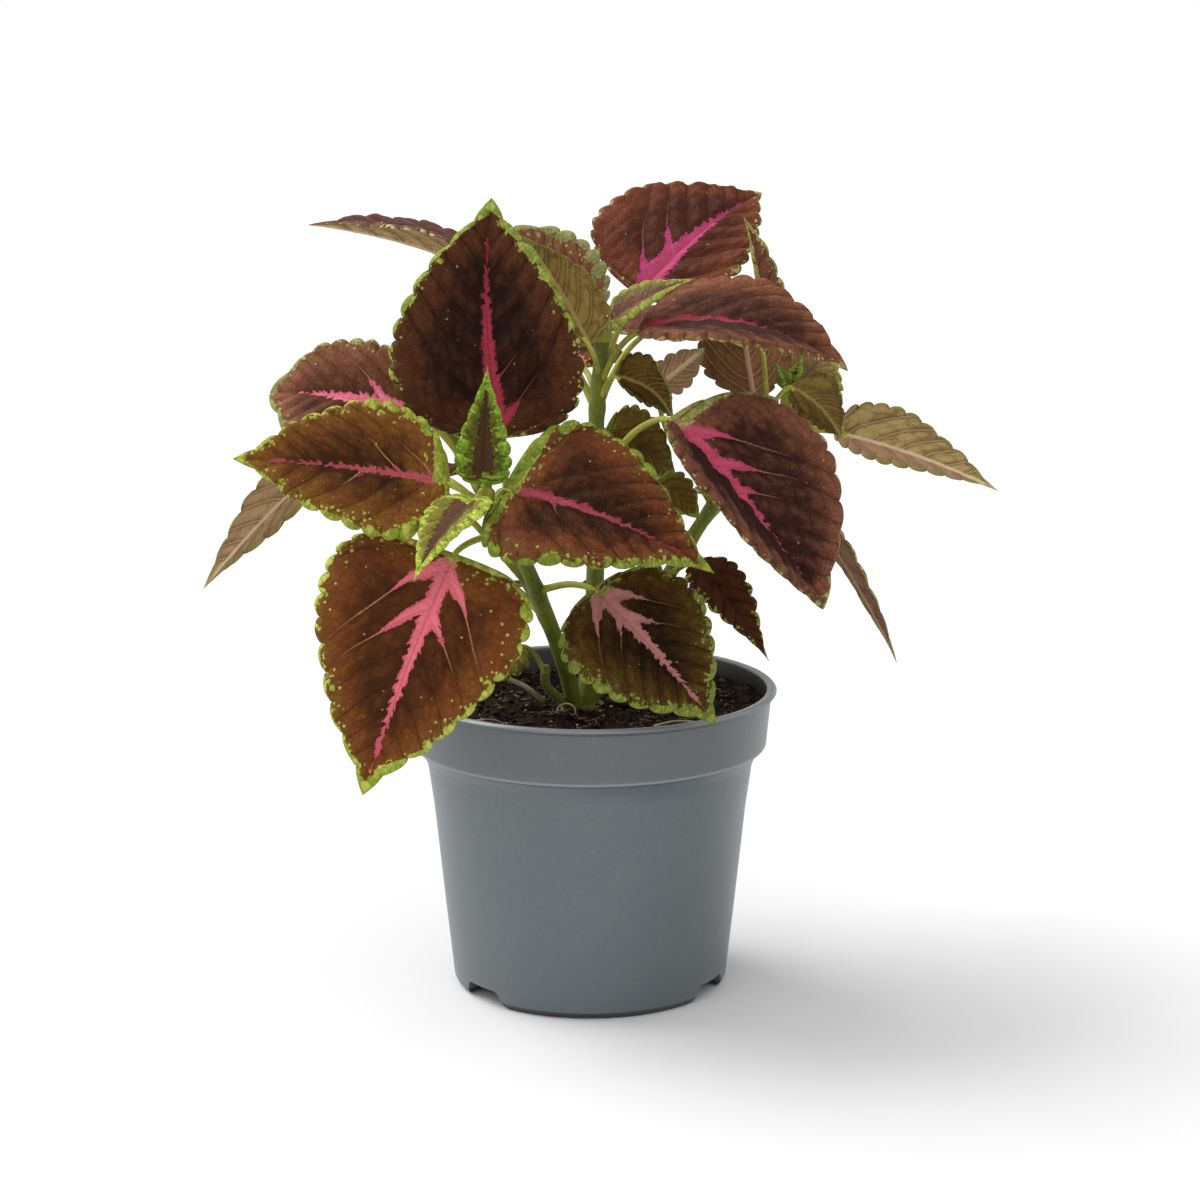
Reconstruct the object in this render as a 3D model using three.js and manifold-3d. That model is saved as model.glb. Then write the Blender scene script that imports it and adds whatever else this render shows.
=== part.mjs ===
// A coleus growing in a plastic nursery pot.
// Millimetres, +Z up. The pot stands on z = 0 with its axis on Z, and -Y is the front.

import * as THREE from 'three';
import { mergeVertices } from 'three/addons/utils/BufferGeometryUtils.js';
import Module from 'manifold-3d';

const wasm = await Module();
wasm.setup();

// ---------------------------------------------------------------- driving sizes

const gap = 0.3;  // air left between pieces that touch

const pot = {
  height: 97.5,
  lipRadius: 60,
  lipHeight: 1.9,
  bandTopRadius: 58.2,
  bandFootRadius: 56.7,
  bandHeight: 18.5,
  bodyTopRadius: 52.2,
  bodyMidRadius: 46.9,
  bodyMidHeight: 26,
  footRadius: 44.3,
  footHeight: 5.4,  // how far the floor is raised on its foot ring
  padRadius: 21.5,  // middle of the floor, which reaches down to the ground
  wall: 1.3,
  sides: 32,
  notchAngles: [-50.5, 61, 185],  // degrees from the front, + to the right
  notchWidth: 14.5,
  drainHoles: 6,
  drainRadius: 3.4,
  drainRing: 33,
};

const soil = { level: 89.5, lump: 1.3, sides: 24, rings: 4 };

const crown = { radius: 7, x: -2.5, y: 1, foot: 62, top: 91 };  // where the stems join, in the soil

const blade = {
  thickness: 0.7,
  baseRound: 0.44,  // smaller makes the base of the leaf broader
  tipSharp: 1,  // larger makes the tip longer and thinner
  toothDepth: 1.5,  // at the widest part of the blade
  toothLean: 1.4,  // more than 1 leans each tooth towards the tip
  innerLine: 0.56,  // where the line between midrib and margin runs
  droop: 0.16,  // how far the margins hang below the midrib
  ripple: 0.014,  // height of the waves along the margins
};

// Each stem runs through its points; radius at its foot and at its tip.
const stems = {
  middle: {
    points: [[-1, 1, 70], [-1, 1.5, 91], [1, 4, 115], [2, 5, 150], [2, 5, 180], [4, 5, 208]],
    radius: [3.3, 2.2],
  },
  left: {
    points: [[-3, 0, 70], [-5, -2.5, 91], [-10, -14, 113], [-24, -36, 153], [-31, -43, 165]],
    radius: [2.9, 2],
  },
  right: {
    points: [[0, 1, 70], [0, 3, 91], [13, 13, 111], [24, 19, 127], [40, 26, 151], [65, 38, 183]],
    radius: [2.9, 1.9],
  },
  back: {
    points: [[-4, 2, 70], [-5, 4, 91], [-12, 15, 110], [-20, 22, 126], [-36, 29, 156], [-50, 36, 180]],
    radius: [2.5, 1.7],
  },
  low: {
    points: [[-5, 0, 70], [-7, -2, 90], [-11, -9, 96], [-14, -14, 101], [-14, -15, 107]],
    radius: [1.6, 1.2],
  },
};

// Each leaf: the stem point that it grows from, the blade's base and tip, the way that its upper
// side faces, and its full width. fold lifts the left and right halves, in degrees, and halves
// scales them. shape replaces baseRound and tipSharp for one leaf. arch, curl and sway are parts of
// the leaf's length: how far the midrib bows up, the tip bends down and the midrib bends sideways.
const leaves = {
  leaf_left_upright: {
    from: [-24, -36, 153], base: [-27, -26, 181], tip: [-30, -9, 253], face: [0.02, -1, 0.25],
    width: 58, fold: [6, 6], halves: [1.08, 1], shape: [0.38, 0.92], arch: 0.05, sway: -0.04, teeth: 9,
  },
  leaf_left_front: {
    from: [-24, -36, 153], base: [-40, -57, 151], tip: [-67, -77, 82], face: [-0.1, -1, 0.35],
    width: 68, fold: [4, 4], halves: [0.9, 1.04], shape: [0.26, 0.92], arch: 0.08, teeth: 9,
  },
  leaf_left_side: {
    from: [-27, -39, 158], base: [-42, -45, 170], tip: [-105, -60, 180], face: [0, -1, 0.85],
    width: 50, fold: [4, 8], halves: [0.91, 1], arch: 0.04, teeth: 9,
  },
  leaf_left_right: {
    from: [-27, -39, 158], base: [-26, -50, 169], tip: [37, -67, 147], face: [0.1, -0.85, 1],
    width: 55, fold: [4, 10], halves: [1.28, 1.06], shape: [0.29, 1.12], arch: 0.08, teeth: 9,
  },
  leaf_front_low: {
    from: [-16, -24, 133], base: [1, -41, 137], tip: [38, -59, 99], face: [0.15, -1, 0.75],
    width: 49, fold: [4, 4], arch: 0.06, teeth: 9,
  },
  leaf_left_low: {
    from: [-20, 22, 126], base: [-77, 0, 176], tip: [-121, -16, 132], face: [-0.5, 0.55, 0.6],
    width: 32, fold: [12, 12], arch: 0.03, teeth: 7,
  },
  leaf_left_back: {
    from: [-36, 29, 156], base: [-54, 24, 180], tip: [-105, 34, 188], face: [-0.1, -0.85, 0.6],
    width: 45, fold: [6, 6], shape: [0.5, 0.58], arch: 0.09, curl: 0.05, teeth: 8,
  },
  leaf_top_left: {
    from: [2, 5, 186], base: [-25, 26, 223], tip: [-89, 14, 243], face: [0.2, 0.05, 1],
    width: 40, fold: [20, 28], shape: [0.6, 1], arch: 0.05, teeth: 7,
  },
  leaf_top_back: {
    from: [3, 5, 195], base: [15, 22, 220], tip: [57, 63, 250], face: [-0.1, -0.85, 0.7],
    width: 68, fold: [6, 10], halves: [0.93, 0.66], arch: 0.08, teeth: 9,
  },
  leaf_top_right: {
    from: [2, 5, 191], base: [15, -1, 211], tip: [80, -12, 200], face: [0.1, -0.3, 1],
    width: 48, fold: [18, 12], halves: [1.14, 1], shape: [0.5, 0.8], arch: 0.13, teeth: 8,
  },
  leaf_top_hidden: {
    from: [3, 6, 191], base: [1, 15, 212], tip: [-24, 22, 242], face: [0.3, -1, 0.3],
    width: 32, fold: [4, 4], shape: [0.5, 0.7], arch: 0.06, teeth: 7,
  },
  leaf_top_folded: {
    from: [3, 5, 196], base: [0, -4, 207], tip: [-21, -4, 241], face: [0.6, 0.8, 0.3],
    width: 28, fold: [16, 16], arch: 0.04, teeth: 7,
  },
  leaf_right_large: {
    from: [2, 5, 163], base: [24, -20, 186], tip: [72, -31, 128.5], face: [0.4, -0.9, 0.4],
    width: 76, fold: [2, 51], halves: [1, 0.8], shape: [0.48, 0.73], arch: 0.05, teeth: 9,
  },
  leaf_right_curled: {
    from: [2, 5, 186], base: [8, 0, 197], tip: [26, -12, 184], face: [0.3, 0.6, 0.7],
    width: 30, fold: [14, 14], arch: 0.16, teeth: 6,
  },
  leaf_middle_back: {
    from: [2, 5, 168], base: [5, 20, 177], tip: [28, 30, 160], face: [0.2, -0.8, 0.6],
    width: 28, fold: [6, 6], arch: 0.1, teeth: 6,
  },
  leaf_right_small: {
    from: [16, 15, 116], base: [22, 8, 163], tip: [35, 6, 150], face: [0.2, -0.8, 0.6],
    width: 15, fold: [6, 6], arch: 0.1, teeth: 4,
  },
  leaf_right_low: {
    from: [17, 16, 118], base: [33, 6, 136], tip: [57, -10, 107], face: [0.4, -0.8, 0.4],
    width: 34, fold: [4, 4], halves: [0.72, 0.48], shape: [0.46, 1.45], arch: 0.06, teeth: 7,
  },
  leaf_far_upright: {
    from: [58, 35, 175], base: [56, 31, 203], tip: [49, 22, 245], face: [0.8, -0.6, 0],
    width: 19, fold: [32, 32], arch: 0.05, teeth: 5,
  },
  leaf_far_wide: {
    from: [44, 28, 157], base: [54, 38, 183], tip: [49, 54, 215], face: [-0.1, 0.8, 0.5],
    width: 33, fold: [8, 8], shape: [0.9, 0.8], arch: 0.03, teeth: 6,
  },
  leaf_far_right: {
    from: [56, 34, 172], base: [80, 38, 174], tip: [133, 26, 156], face: [0.1, 0.75, 0.7],
    width: 38, fold: [10, 10], halves: [0.6, 1], shape: [0.44, 1.2], arch: 0.04, teeth: 8,
  },
  leaf_far_top: {
    from: [57, 35, 173], base: [67, 48, 184], tip: [80, 66, 197], face: [0.1, -0.8, 0.6],
    width: 28, fold: [6, 6], arch: 0.08, teeth: 6,
  },
  leaf_far_folded: {
    from: [53, 32, 167], base: [65, 27, 190], tip: [81, 20, 174], face: [0.6, 0.7, 0.5],
    width: 28, fold: [14, 14], arch: 0.12, teeth: 6,
  },
  leaf_far_down: {
    from: [52, 32, 166], base: [66, 36, 156], tip: [101, 24, 99], face: [0.75, 0.3, 0.5],
    width: 24, fold: [12, 12], arch: 0.03, teeth: 7,
  },
  leaf_right_pale: {
    from: [40, 26, 151], base: [22, 28, 190], tip: [37, 24, 203], face: [0.2, 0.9, -0.3],
    width: 14, fold: [8, 8], arch: 0.05, teeth: 4,
  },
  leaf_low: {
    from: [-14, -15, 105], base: [-21, -17, 114], tip: [-46, -30, 100], face: [-0.2, -0.7, 0.8],
    width: 22, fold: [8, 8], arch: 0.1, teeth: 5,
  },
  leaf_back_top: {
    from: [2, 5, 182], base: [-2, 30, 196], tip: [-30, 80, 190], face: [-0.1, 0.5, 1],
    width: 46, fold: [8, 8], arch: 0.14, teeth: 7,
  },
  leaf_back_top_right: {
    from: [3, 5, 188], base: [17, 34, 206], tip: [52, 86, 203], face: [0, 0.35, 1],
    width: 42, fold: [8, 8], arch: 0.12, teeth: 7,
  },
  leaf_back_left: {
    from: [-42, 31, 166], base: [-46, 48, 179], tip: [-46, 94, 172], face: [0, 0.4, 1],
    width: 42, fold: [8, 8], arch: 0.12, teeth: 7,
  },
  leaf_back_right: {
    from: [47, 29, 160], base: [60, 52, 168], tip: [50, 100, 156], face: [0, 0.4, 1],
    width: 40, fold: [8, 8], arch: 0.12, teeth: 7,
  },
  leaf_back_far: {
    from: [54, 33, 169], base: [77, 58, 172], tip: [100, 96, 158], face: [0.2, 0.4, 1],
    width: 34, fold: [8, 8], arch: 0.12, teeth: 6,
  },
  leaf_back_middle: {
    from: [2, 5, 150], base: [3, 28, 159], tip: [11, 82, 131], face: [0, 0.5, 0.8],
    width: 46, fold: [8, 8], arch: 0.12, teeth: 7,
  },
  leaf_back_left_low: {
    from: [-28, 26, 141], base: [-48, 42, 158], tip: [-72, 84, 138], face: [-0.2, 0.4, 1],
    width: 42, fold: [8, 8], arch: 0.14, teeth: 7,
  },
  leaf_back_right_low: {
    from: [32, 22, 139], base: [48, 46, 150], tip: [66, 90, 124], face: [0.2, 0.5, 0.8],
    width: 42, fold: [8, 8], arch: 0.14, teeth: 7,
  },
  leaf_back_low: {
    from: [1, 4, 115], base: [7, 26, 122], tip: [25, 62, 106], face: [0.1, 0.4, 1],
    width: 34, fold: [8, 8], arch: 0.14, teeth: 6,
  },
  leaf_back_bottom: {
    from: [-15, 18, 116], base: [-29, 34, 122], tip: [-56, 72, 94], face: [-0.2, 0.5, 0.8],
    width: 40, fold: [8, 8], arch: 0.14, teeth: 7,
  },
};

// The youngest leaves at each growing tip stay joined to one another, as in the bud.
const tips = {
  tip_left: {
    stem: 'left',
    young: [
      { base: [-32, -45, 170], tip: [-30, -53, 207], face: [0, -1, 0.2], width: 18, teeth: 4 },
      { base: [-34, -53, 167], tip: [-51, -80, 147], face: [-0.4, -0.6, 1], width: 22, teeth: 5 },
    ],
  },
  tip_middle: {
    stem: 'middle',
    young: [
      { base: [6, 3, 213], tip: [33, -6, 228], face: [-0.2, -0.6, 1], width: 19, teeth: 4 },
      { base: [3, 5, 213], tip: [-3, 0, 219], face: [0, -0.5, 1], width: 7, teeth: 2 },
    ],
  },
  tip_right: {
    stem: 'right',
    young: [
      { base: [66, 40, 188], tip: [70, 46, 197], face: [-0.2, -0.4, 1], width: 7, teeth: 2 },
      { base: [64, 37, 188], tip: [60, 34, 197], face: [0.2, 0.4, 1], width: 6, teeth: 2 },
    ],
  },
  tip_back: {
    stem: 'back',
    young: [
      { base: [-50, 39, 183], tip: [-54, 53, 194], face: [0, 0, 1], width: 10, teeth: 2 },
      { base: [-49, 38, 183], tip: [-41, 45, 195], face: [0.4, 0, 1], width: 9, teeth: 2 },
    ],
  },
};

const colours = {
  pot: 0x7d8489,
  soil: 0x35241a,
  stem: 0x6f8a32,
  leaf: 0x4b2a20,
  youngLeaf: 0x5f7a2c,
};

// ---------------------------------------------------------------- solids and meshes

const vector = (list) => new THREE.Vector3(...list);

function toSolid(geometry) {
  const plain = geometry.clone();
  plain.deleteAttribute('normal');
  plain.deleteAttribute('uv');
  const merged = mergeVertices(plain, 1e-4);
  const vertProperties = new Float32Array(merged.attributes.position.array);
  const triVerts = new Uint32Array(merged.index.array);
  return new wasm.Manifold(new wasm.Mesh({ numProp: 3, vertProperties, triVerts }));
}

function toMesh(name, solid, colour, roughness) {
  const mesh = solid.getMesh();
  const geometry = new THREE.BufferGeometry();
  const corners = new Float32Array(mesh.numVert * 3);
  for (let i = 0; i < mesh.numVert; i += 1) {
    corners.set(mesh.vertProperties.subarray(i * mesh.numProp, i * mesh.numProp + 3), i * 3);
  }
  geometry.setAttribute('position', new THREE.BufferAttribute(corners, 3));
  geometry.setIndex(new THREE.BufferAttribute(new Uint32Array(mesh.triVerts), 1));
  geometry.computeVertexNormals();
  const material = new THREE.MeshStandardMaterial({ color: colour, roughness, metalness: 0 });
  const result = new THREE.Mesh(geometry, material);
  result.name = name;
  return result;
}

// A round bar along a curve, thinner from its foot to its tip, with a flat end at each side.
function bar(points, radii, sides, steps) {
  const curve = new THREE.CatmullRomCurve3(points.map(vector));
  const places = [];
  const faces = [];
  let across = new THREE.Vector3(1, 0, 0);
  for (let i = 0; i <= steps; i += 1) {
    const centre = curve.getPoint(i / steps);
    const along = curve.getTangent(i / steps);
    across = across.clone().addScaledVector(along, -across.dot(along)).normalize();
    const other = new THREE.Vector3().crossVectors(along, across);
    const radius = THREE.MathUtils.lerp(radii[0], radii[1], i / steps);
    for (let k = 0; k < sides; k += 1) {
      const turn = (2 * Math.PI * k) / sides;
      const place = centre.clone();
      place.addScaledVector(across, radius * Math.cos(turn));
      place.addScaledVector(other, radius * Math.sin(turn));
      places.push(place.x, place.y, place.z);
    }
  }
  for (let i = 0; i < steps; i += 1) {
    for (let k = 0; k < sides; k += 1) {
      const a = i * sides + k;
      const b = i * sides + ((k + 1) % sides);
      faces.push(a, b, b + sides, a, b + sides, a + sides);
    }
  }
  for (let k = 1; k < sides - 1; k += 1) {
    const last = steps * sides;
    faces.push(0, k + 1, k, last, last + k, last + k + 1);
  }
  const geometry = new THREE.BufferGeometry();
  geometry.setAttribute('position', new THREE.Float32BufferAttribute(places, 3));
  geometry.setIndex(faces);
  return toSolid(geometry);
}

// ---------------------------------------------------------------- pot

function buildPot() {
  const { wall, height, footHeight, padRadius } = pot;
  const bandFoot = height - pot.bandHeight;
  const outer = [
    [0, 0],
    [padRadius, 0],
    [padRadius + 2.4, footHeight],
    [pot.footRadius - 3.9, footHeight],
    [pot.footRadius - 3.3, 0],
    [pot.footRadius - 1.5, 0],
    [pot.footRadius, 2],
    [pot.bodyMidRadius, pot.bodyMidHeight],
    [pot.bodyTopRadius - 1.9, 59],
    [pot.bodyTopRadius, bandFoot - 6.5],
    [pot.bodyTopRadius + 1.1, bandFoot - 4],
    [pot.bandFootRadius - 1.2, bandFoot - 1.4],
    [pot.bandFootRadius, bandFoot + 0.8],
    [pot.bandTopRadius, height - pot.lipHeight - 0.3],
    [pot.lipRadius - 0.5, height - pot.lipHeight],
    [pot.lipRadius, height - pot.lipHeight * 0.55],
    [pot.lipRadius - 1.1, height],
  ];
  const inner = [
    [pot.bandTopRadius - wall - 0.2, height - 0.5],
    [pot.bandFootRadius - wall, bandFoot + 1],
    [pot.bandFootRadius - wall - 1, bandFoot - 0.4],
    [pot.bodyTopRadius - wall, bandFoot - 5.8],
    [pot.bodyMidRadius - wall, pot.bodyMidHeight],
    [pot.footRadius - wall - 0.3, footHeight + wall + 0.6],
    [pot.footRadius - wall - 1.2, footHeight + wall],
    [padRadius + 1.6, footHeight + wall],
    [padRadius - 1, wall + 0.2],
    [0, wall + 0.2],
  ];
  const profile = [...outer, ...inner].map(([r, z]) => new THREE.Vector2(r, z));
  let solid = toSolid(new THREE.LatheGeometry(profile, pot.sides).rotateX(Math.PI / 2));
  for (const angle of pot.notchAngles) {
    solid = solid.subtract(notchCutter(angle));
  }
  for (let i = 0; i < pot.drainHoles; i += 1) {
    const turn = (2 * Math.PI * (i + 0.5)) / pot.drainHoles;
    const drill = new THREE.CylinderGeometry(pot.drainRadius, pot.drainRadius, 12, 8);
    drill.rotateX(Math.PI / 2);
    drill.translate(pot.drainRing * Math.cos(turn), pot.drainRing * Math.sin(turn), footHeight);
    solid = solid.subtract(toSolid(drill));
  }
  return solid;
}

// A gap between two feet, with flanks that run out softly to the ground.
function notchCutter(angle) {
  const half = pot.notchWidth / 2;
  const top = pot.footHeight;
  const shape = new THREE.Shape();
  shape.moveTo(-half - 4, -1);
  shape.lineTo(-half - 3, 0);
  shape.bezierCurveTo(-half - 0.8, 0.6, -half - 1.2, top, -half + 1.6, top);
  shape.lineTo(half - 1.6, top);
  shape.bezierCurveTo(half + 1.2, top, half + 0.8, 0.6, half + 3, 0);
  shape.lineTo(half + 4, -1);
  shape.closePath();
  const cutter = new THREE.ExtrudeGeometry(shape, { depth: 9, bevelEnabled: false, curveSegments: 2 });
  cutter.rotateX(Math.PI / 2);
  cutter.translate(0, -(pot.footRadius - 7), 0);
  cutter.rotateZ(THREE.MathUtils.degToRad(angle));
  return toSolid(cutter);
}

// ---------------------------------------------------------------- soil

function soilHeight(x, y) {
  const wide = Math.sin(x * 0.21 + 1.3) * Math.cos(y * 0.19 + 0.4);
  const fine = Math.sin(x * 0.53 + y * 0.31) * Math.cos(y * 0.47 - x * 0.22 + 2);
  return soil.level + soil.lump * (0.6 * wide + 0.5 * fine);
}

function buildSoil() {
  const bandFoot = pot.height - pot.bandHeight;
  const inset = pot.wall + gap + 0.35;
  const rise = (soil.level - bandFoot) / pot.bandHeight;
  const edge = THREE.MathUtils.lerp(pot.bandFootRadius, pot.bandTopRadius, rise) - inset;
  const profile = [
    [0, pot.wall + 0.2 + gap],
    [pot.padRadius - 1.4, pot.wall + 0.2 + gap],
    [pot.padRadius + 1.2, pot.footHeight + pot.wall + gap],
    [pot.footRadius - 2.1 - pot.wall, pot.footHeight + pot.wall + gap],
    [pot.footRadius - pot.wall - 0.8, pot.footHeight + pot.wall + 1.4],
    [pot.bodyMidRadius - inset, pot.bodyMidHeight],
    [pot.bodyTopRadius - inset, bandFoot - 5.6],
    [pot.bandFootRadius - inset - 1.1, bandFoot - 0.1],
    [pot.bandFootRadius - inset - 0.1, bandFoot + 1.2],
    [edge, soil.level - 2.2],
  ];
  for (let ring = 0; ring <= soil.rings; ring += 1) {
    profile.push([(edge - 0.3) * (1 - ring / soil.rings), soil.level]);
  }
  const points = profile.map(([r, z]) => new THREE.Vector2(r, z));
  const geometry = new THREE.LatheGeometry(points, soil.sides).rotateX(Math.PI / 2);
  const place = geometry.attributes.position;
  for (let i = 0; i < place.count; i += 1) {
    if (place.getZ(i) > soil.level - 0.1) {
      place.setZ(i, soilHeight(place.getX(i), place.getY(i)));
    }
  }
  const hole = new THREE.CylinderGeometry(crown.radius + gap, crown.radius + gap, 60, 20);
  hole.rotateX(Math.PI / 2);
  hole.translate(crown.x, crown.y, crown.foot - gap + 30);
  return toSolid(geometry).subtract(toSolid(hole));
}

// ---------------------------------------------------------------- stems

function stemBars(extra) {
  return Object.values(stems).map((stem) => {
    const radii = stem.radius.map((radius) => radius + extra);
    return bar(stem.points, radii, 6, 7);
  });
}

function buildStems() {
  const root = new THREE.CylinderGeometry(crown.radius, crown.radius - 1, crown.top - crown.foot, 16);
  root.rotateX(Math.PI / 2);
  root.translate(crown.x, crown.y, (crown.top + crown.foot) / 2);
  let solid = toSolid(root);
  for (const stem of stemBars(0)) {
    solid = solid.add(stem);
  }
  return solid;
}

function stemClearance() {
  const [first, ...others] = stemBars(gap);
  return others.reduce((all, one) => all.add(one), first);
}

// ---------------------------------------------------------------- leaves

function outline(leaf, s) {
  const [baseRound, tipSharp] = leaf.shape ?? [blade.baseRound, blade.tipSharp];
  const peak = baseRound / (baseRound + tipSharp);
  const top = peak ** baseRound * (1 - peak) ** tipSharp;
  return (s ** baseRound * (1 - s) ** tipSharp) / top;
}

function frameOf(leaf) {
  const base = vector(leaf.base);
  const along = vector(leaf.tip).sub(base);
  const length = along.length();
  along.normalize();
  const up = vector(leaf.face);
  up.addScaledVector(along, -up.dot(along)).normalize();
  const side = new THREE.Vector3().crossVectors(along, up);
  return { base, along, up, side, length };
}

// The blade's middle surface: s runs from base to tip, x is the way out from the midrib.
function surface(leaf, frame, s, x) {
  const [left, right] = leaf.fold ?? [10, 10];
  const lift = THREE.MathUtils.degToRad(x < 0 ? left : right);
  const half = (leaf.width / 2) * Math.max(outline(leaf, Math.min(Math.max(s, 0), 1)), 0.05);
  const out = x * Math.cos(lift);
  const droop = blade.droop * x * x / leaf.width;
  const ripple = blade.ripple * leaf.width * (x / half) ** 2 * Math.sin(Math.PI * Math.min(s, 1));
  const wave = ripple * Math.sin(15 * s + (x < 0 ? 0 : 2));
  const rise = Math.abs(x) * Math.sin(lift) - droop + wave;
  const bow = frame.length * ((leaf.arch ?? 0.06) * 4 * s * (1 - s) - (leaf.curl ?? 0) * s ** 4);
  const place = frame.base.clone().addScaledVector(frame.along, s * frame.length);
  place.addScaledVector(frame.side, out + (leaf.sway ?? 0) * frame.length * 4 * s * (1 - s));
  place.addScaledVector(frame.up, rise + bow);
  return place;
}

function surfaceNormal(leaf, frame, s, x) {
  const low = Math.max(s - 0.02, 0);
  const high = Math.min(s + 0.02, 1);
  const along = surface(leaf, frame, high, x).sub(surface(leaf, frame, low, x));
  const across = surface(leaf, frame, s, x + 0.5).sub(surface(leaf, frame, s, x - 0.5));
  return new THREE.Vector3().crossVectors(across, along).normalize();
}

// How far along the leaf a place on the margin lies, with the teeth evenly spaced.
const alongMargin = (u) => u ** 1.5 * (1.35 - 0.35 * u);

function marginPlace(leaf, u, side) {
  const phase = (u * leaf.teeth) % 1;
  const s = alongMargin(u);
  const [left, right] = leaf.halves ?? [1, 1];
  const half = (leaf.width / 2) * outline(leaf, s) * (side < 0 ? left : right);
  const bump = phase < 1e-6 ? 0 : Math.sin(Math.PI * phase ** blade.toothLean) ** 0.7;
  const depth = blade.toothDepth * Math.min(1, half / 8) * (1 - bump);
  return [s, side * (half - depth)];
}

// Points of the blade in one shared order, so that both faces are split alike.
function bladeLayout(leaf) {
  const { teeth } = leaf;
  const places = [[0, 0], [1, 0]];
  const rows = { middle: [0] };
  for (let k = 1; k < teeth; k += 1) {
    rows.middle.push(places.push([alongMargin(k / teeth), 0]) - 1);
  }
  rows.middle.push(1);
  for (const side of [-1, 1]) {
    const inner = [0];
    const outer = [0];
    for (let k = 0; k < teeth; k += 1) {
      if (k > 0) {
        const [s, x] = marginPlace(leaf, k / teeth, side);
        outer.push(places.push([s, x]) - 1);
        inner.push(places.push([s, x * blade.innerLine]) - 1);
      }
      outer.push(places.push(marginPlace(leaf, (k + 0.36) / teeth, side)) - 1);
      outer.push(places.push(marginPlace(leaf, (k + 0.76) / teeth, side)) - 1);
    }
    inner.push(1);
    outer.push(1);
    rows[side] = { inner, outer };
  }
  return { places, rows };
}

function bladeFaces(leaf, rows) {
  const faces = [];
  const put = (side, a, b, c) => {
    if (a !== b && b !== c && a !== c) {
      faces.push(side > 0 ? [a, b, c] : [a, c, b]);
    }
  };
  for (const side of [-1, 1]) {
    const { inner, outer } = rows[side];
    for (let k = 0; k < leaf.teeth; k += 1) {
      const o = 3 * k;
      put(side, rows.middle[k], inner[k], inner[k + 1]);
      put(side, rows.middle[k], inner[k + 1], rows.middle[k + 1]);
      put(side, inner[k], outer[o], outer[o + 1]);
      put(side, inner[k], outer[o + 1], inner[k + 1]);
      put(side, inner[k + 1], outer[o + 1], outer[o + 2]);
      put(side, inner[k + 1], outer[o + 2], outer[o + 3]);
    }
  }
  return faces;
}

function bladeSolid(leaf) {
  const frame = frameOf(leaf);
  const { places, rows } = bladeLayout(leaf);
  const half = blade.thickness / 2;
  const top = [];
  const under = [];
  for (const [s, x] of places) {
    const middle = surface(leaf, frame, s, x);
    const normal = surfaceNormal(leaf, frame, s, x);
    top.push(...middle.clone().addScaledVector(normal, half).toArray());
    under.push(...middle.clone().addScaledVector(normal, -half).toArray());
  }
  const count = places.length;
  const index = [];
  for (const [a, b, c] of bladeFaces(leaf, rows)) {
    index.push(a, b, c, count + a, count + c, count + b);
  }
  const rim = [...rows[-1].outer, ...rows[1].outer.slice(1, -1).reverse()];
  rim.forEach((a, i) => {
    const b = rim[(i + 1) % rim.length];
    index.push(a, b, count + b, a, count + b, count + a);
  });
  const geometry = new THREE.BufferGeometry();
  geometry.setAttribute('position', new THREE.Float32BufferAttribute([...top, ...under], 3));
  geometry.setIndex(index);
  return toSolid(geometry);
}

// The leaf stalk, which runs on under the blade as its midrib.
function stalkSolid(leaf, thick) {
  const frame = frameOf(leaf);
  const from = vector(leaf.from);
  const reach = from.distanceTo(frame.base);
  const points = [leaf.from];
  const bend = frame.base.clone().addScaledVector(frame.along, -0.35 * reach);
  bend.lerp(from.clone().lerp(frame.base, 0.6), 0.75);
  points.push(bend.toArray());
  for (const s of [0, 0.08]) {
    points.push(surface(leaf, frame, s, 0).toArray());
  }
  return bar(points, [thick, thick * 0.7], leaf.width > 30 ? 5 : 4, 4);
}

function buildLeaf(leaf, clearance) {
  const thick = leaf.width > 30 ? 1.35 : 1;
  return bladeSolid(leaf).add(stalkSolid(leaf, thick)).subtract(clearance);
}

function buildTip(tip, clearance) {
  const top = stems[tip.stem].points.at(-1);
  const bud = new THREE.SphereGeometry(stems[tip.stem].radius[1] + 0.9, 8, 5);
  bud.translate(top[0], top[1], top[2] + 2.2);
  let solid = toSolid(bud);
  for (const young of tip.young) {
    const leaf = { ...young, from: [top[0], top[1], top[2] + 2.4], fold: [16, 16] };
    solid = solid.add(bladeSolid(leaf)).add(stalkSolid(leaf, 0.9));
  }
  return solid.subtract(clearance);
}

// ---------------------------------------------------------------- the plant in its pot

// Cutting a stalk free of its stem can leave a sliver behind, which isn't part of the leaf.
function largestPiece(solid) {
  const pieces = solid.decompose();
  pieces.sort((a, b) => b.volume() - a.volume());
  return pieces[0];
}

const group = new THREE.Group();
group.name = 'coleus_in_pot';

const clearance = stemClearance();
group.add(toMesh('pot', buildPot(), colours.pot, 0.55));
group.add(toMesh('soil', buildSoil(), colours.soil, 0.95));
group.add(toMesh('stems', buildStems(), colours.stem, 0.6));
for (const [name, tip] of Object.entries(tips)) {
  group.add(toMesh(name, largestPiece(buildTip(tip, clearance)), colours.youngLeaf, 0.6));
}
for (const [name, leaf] of Object.entries(leaves)) {
  group.add(toMesh(name, largestPiece(buildLeaf(leaf, clearance)), colours.leaf, 0.6));
}

export default group;
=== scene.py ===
# Coleus in a grey nursery pot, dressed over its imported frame.
# Metres in Blender, millimetres in the tables. +Z is up and the front is -Y.

import math

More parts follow.
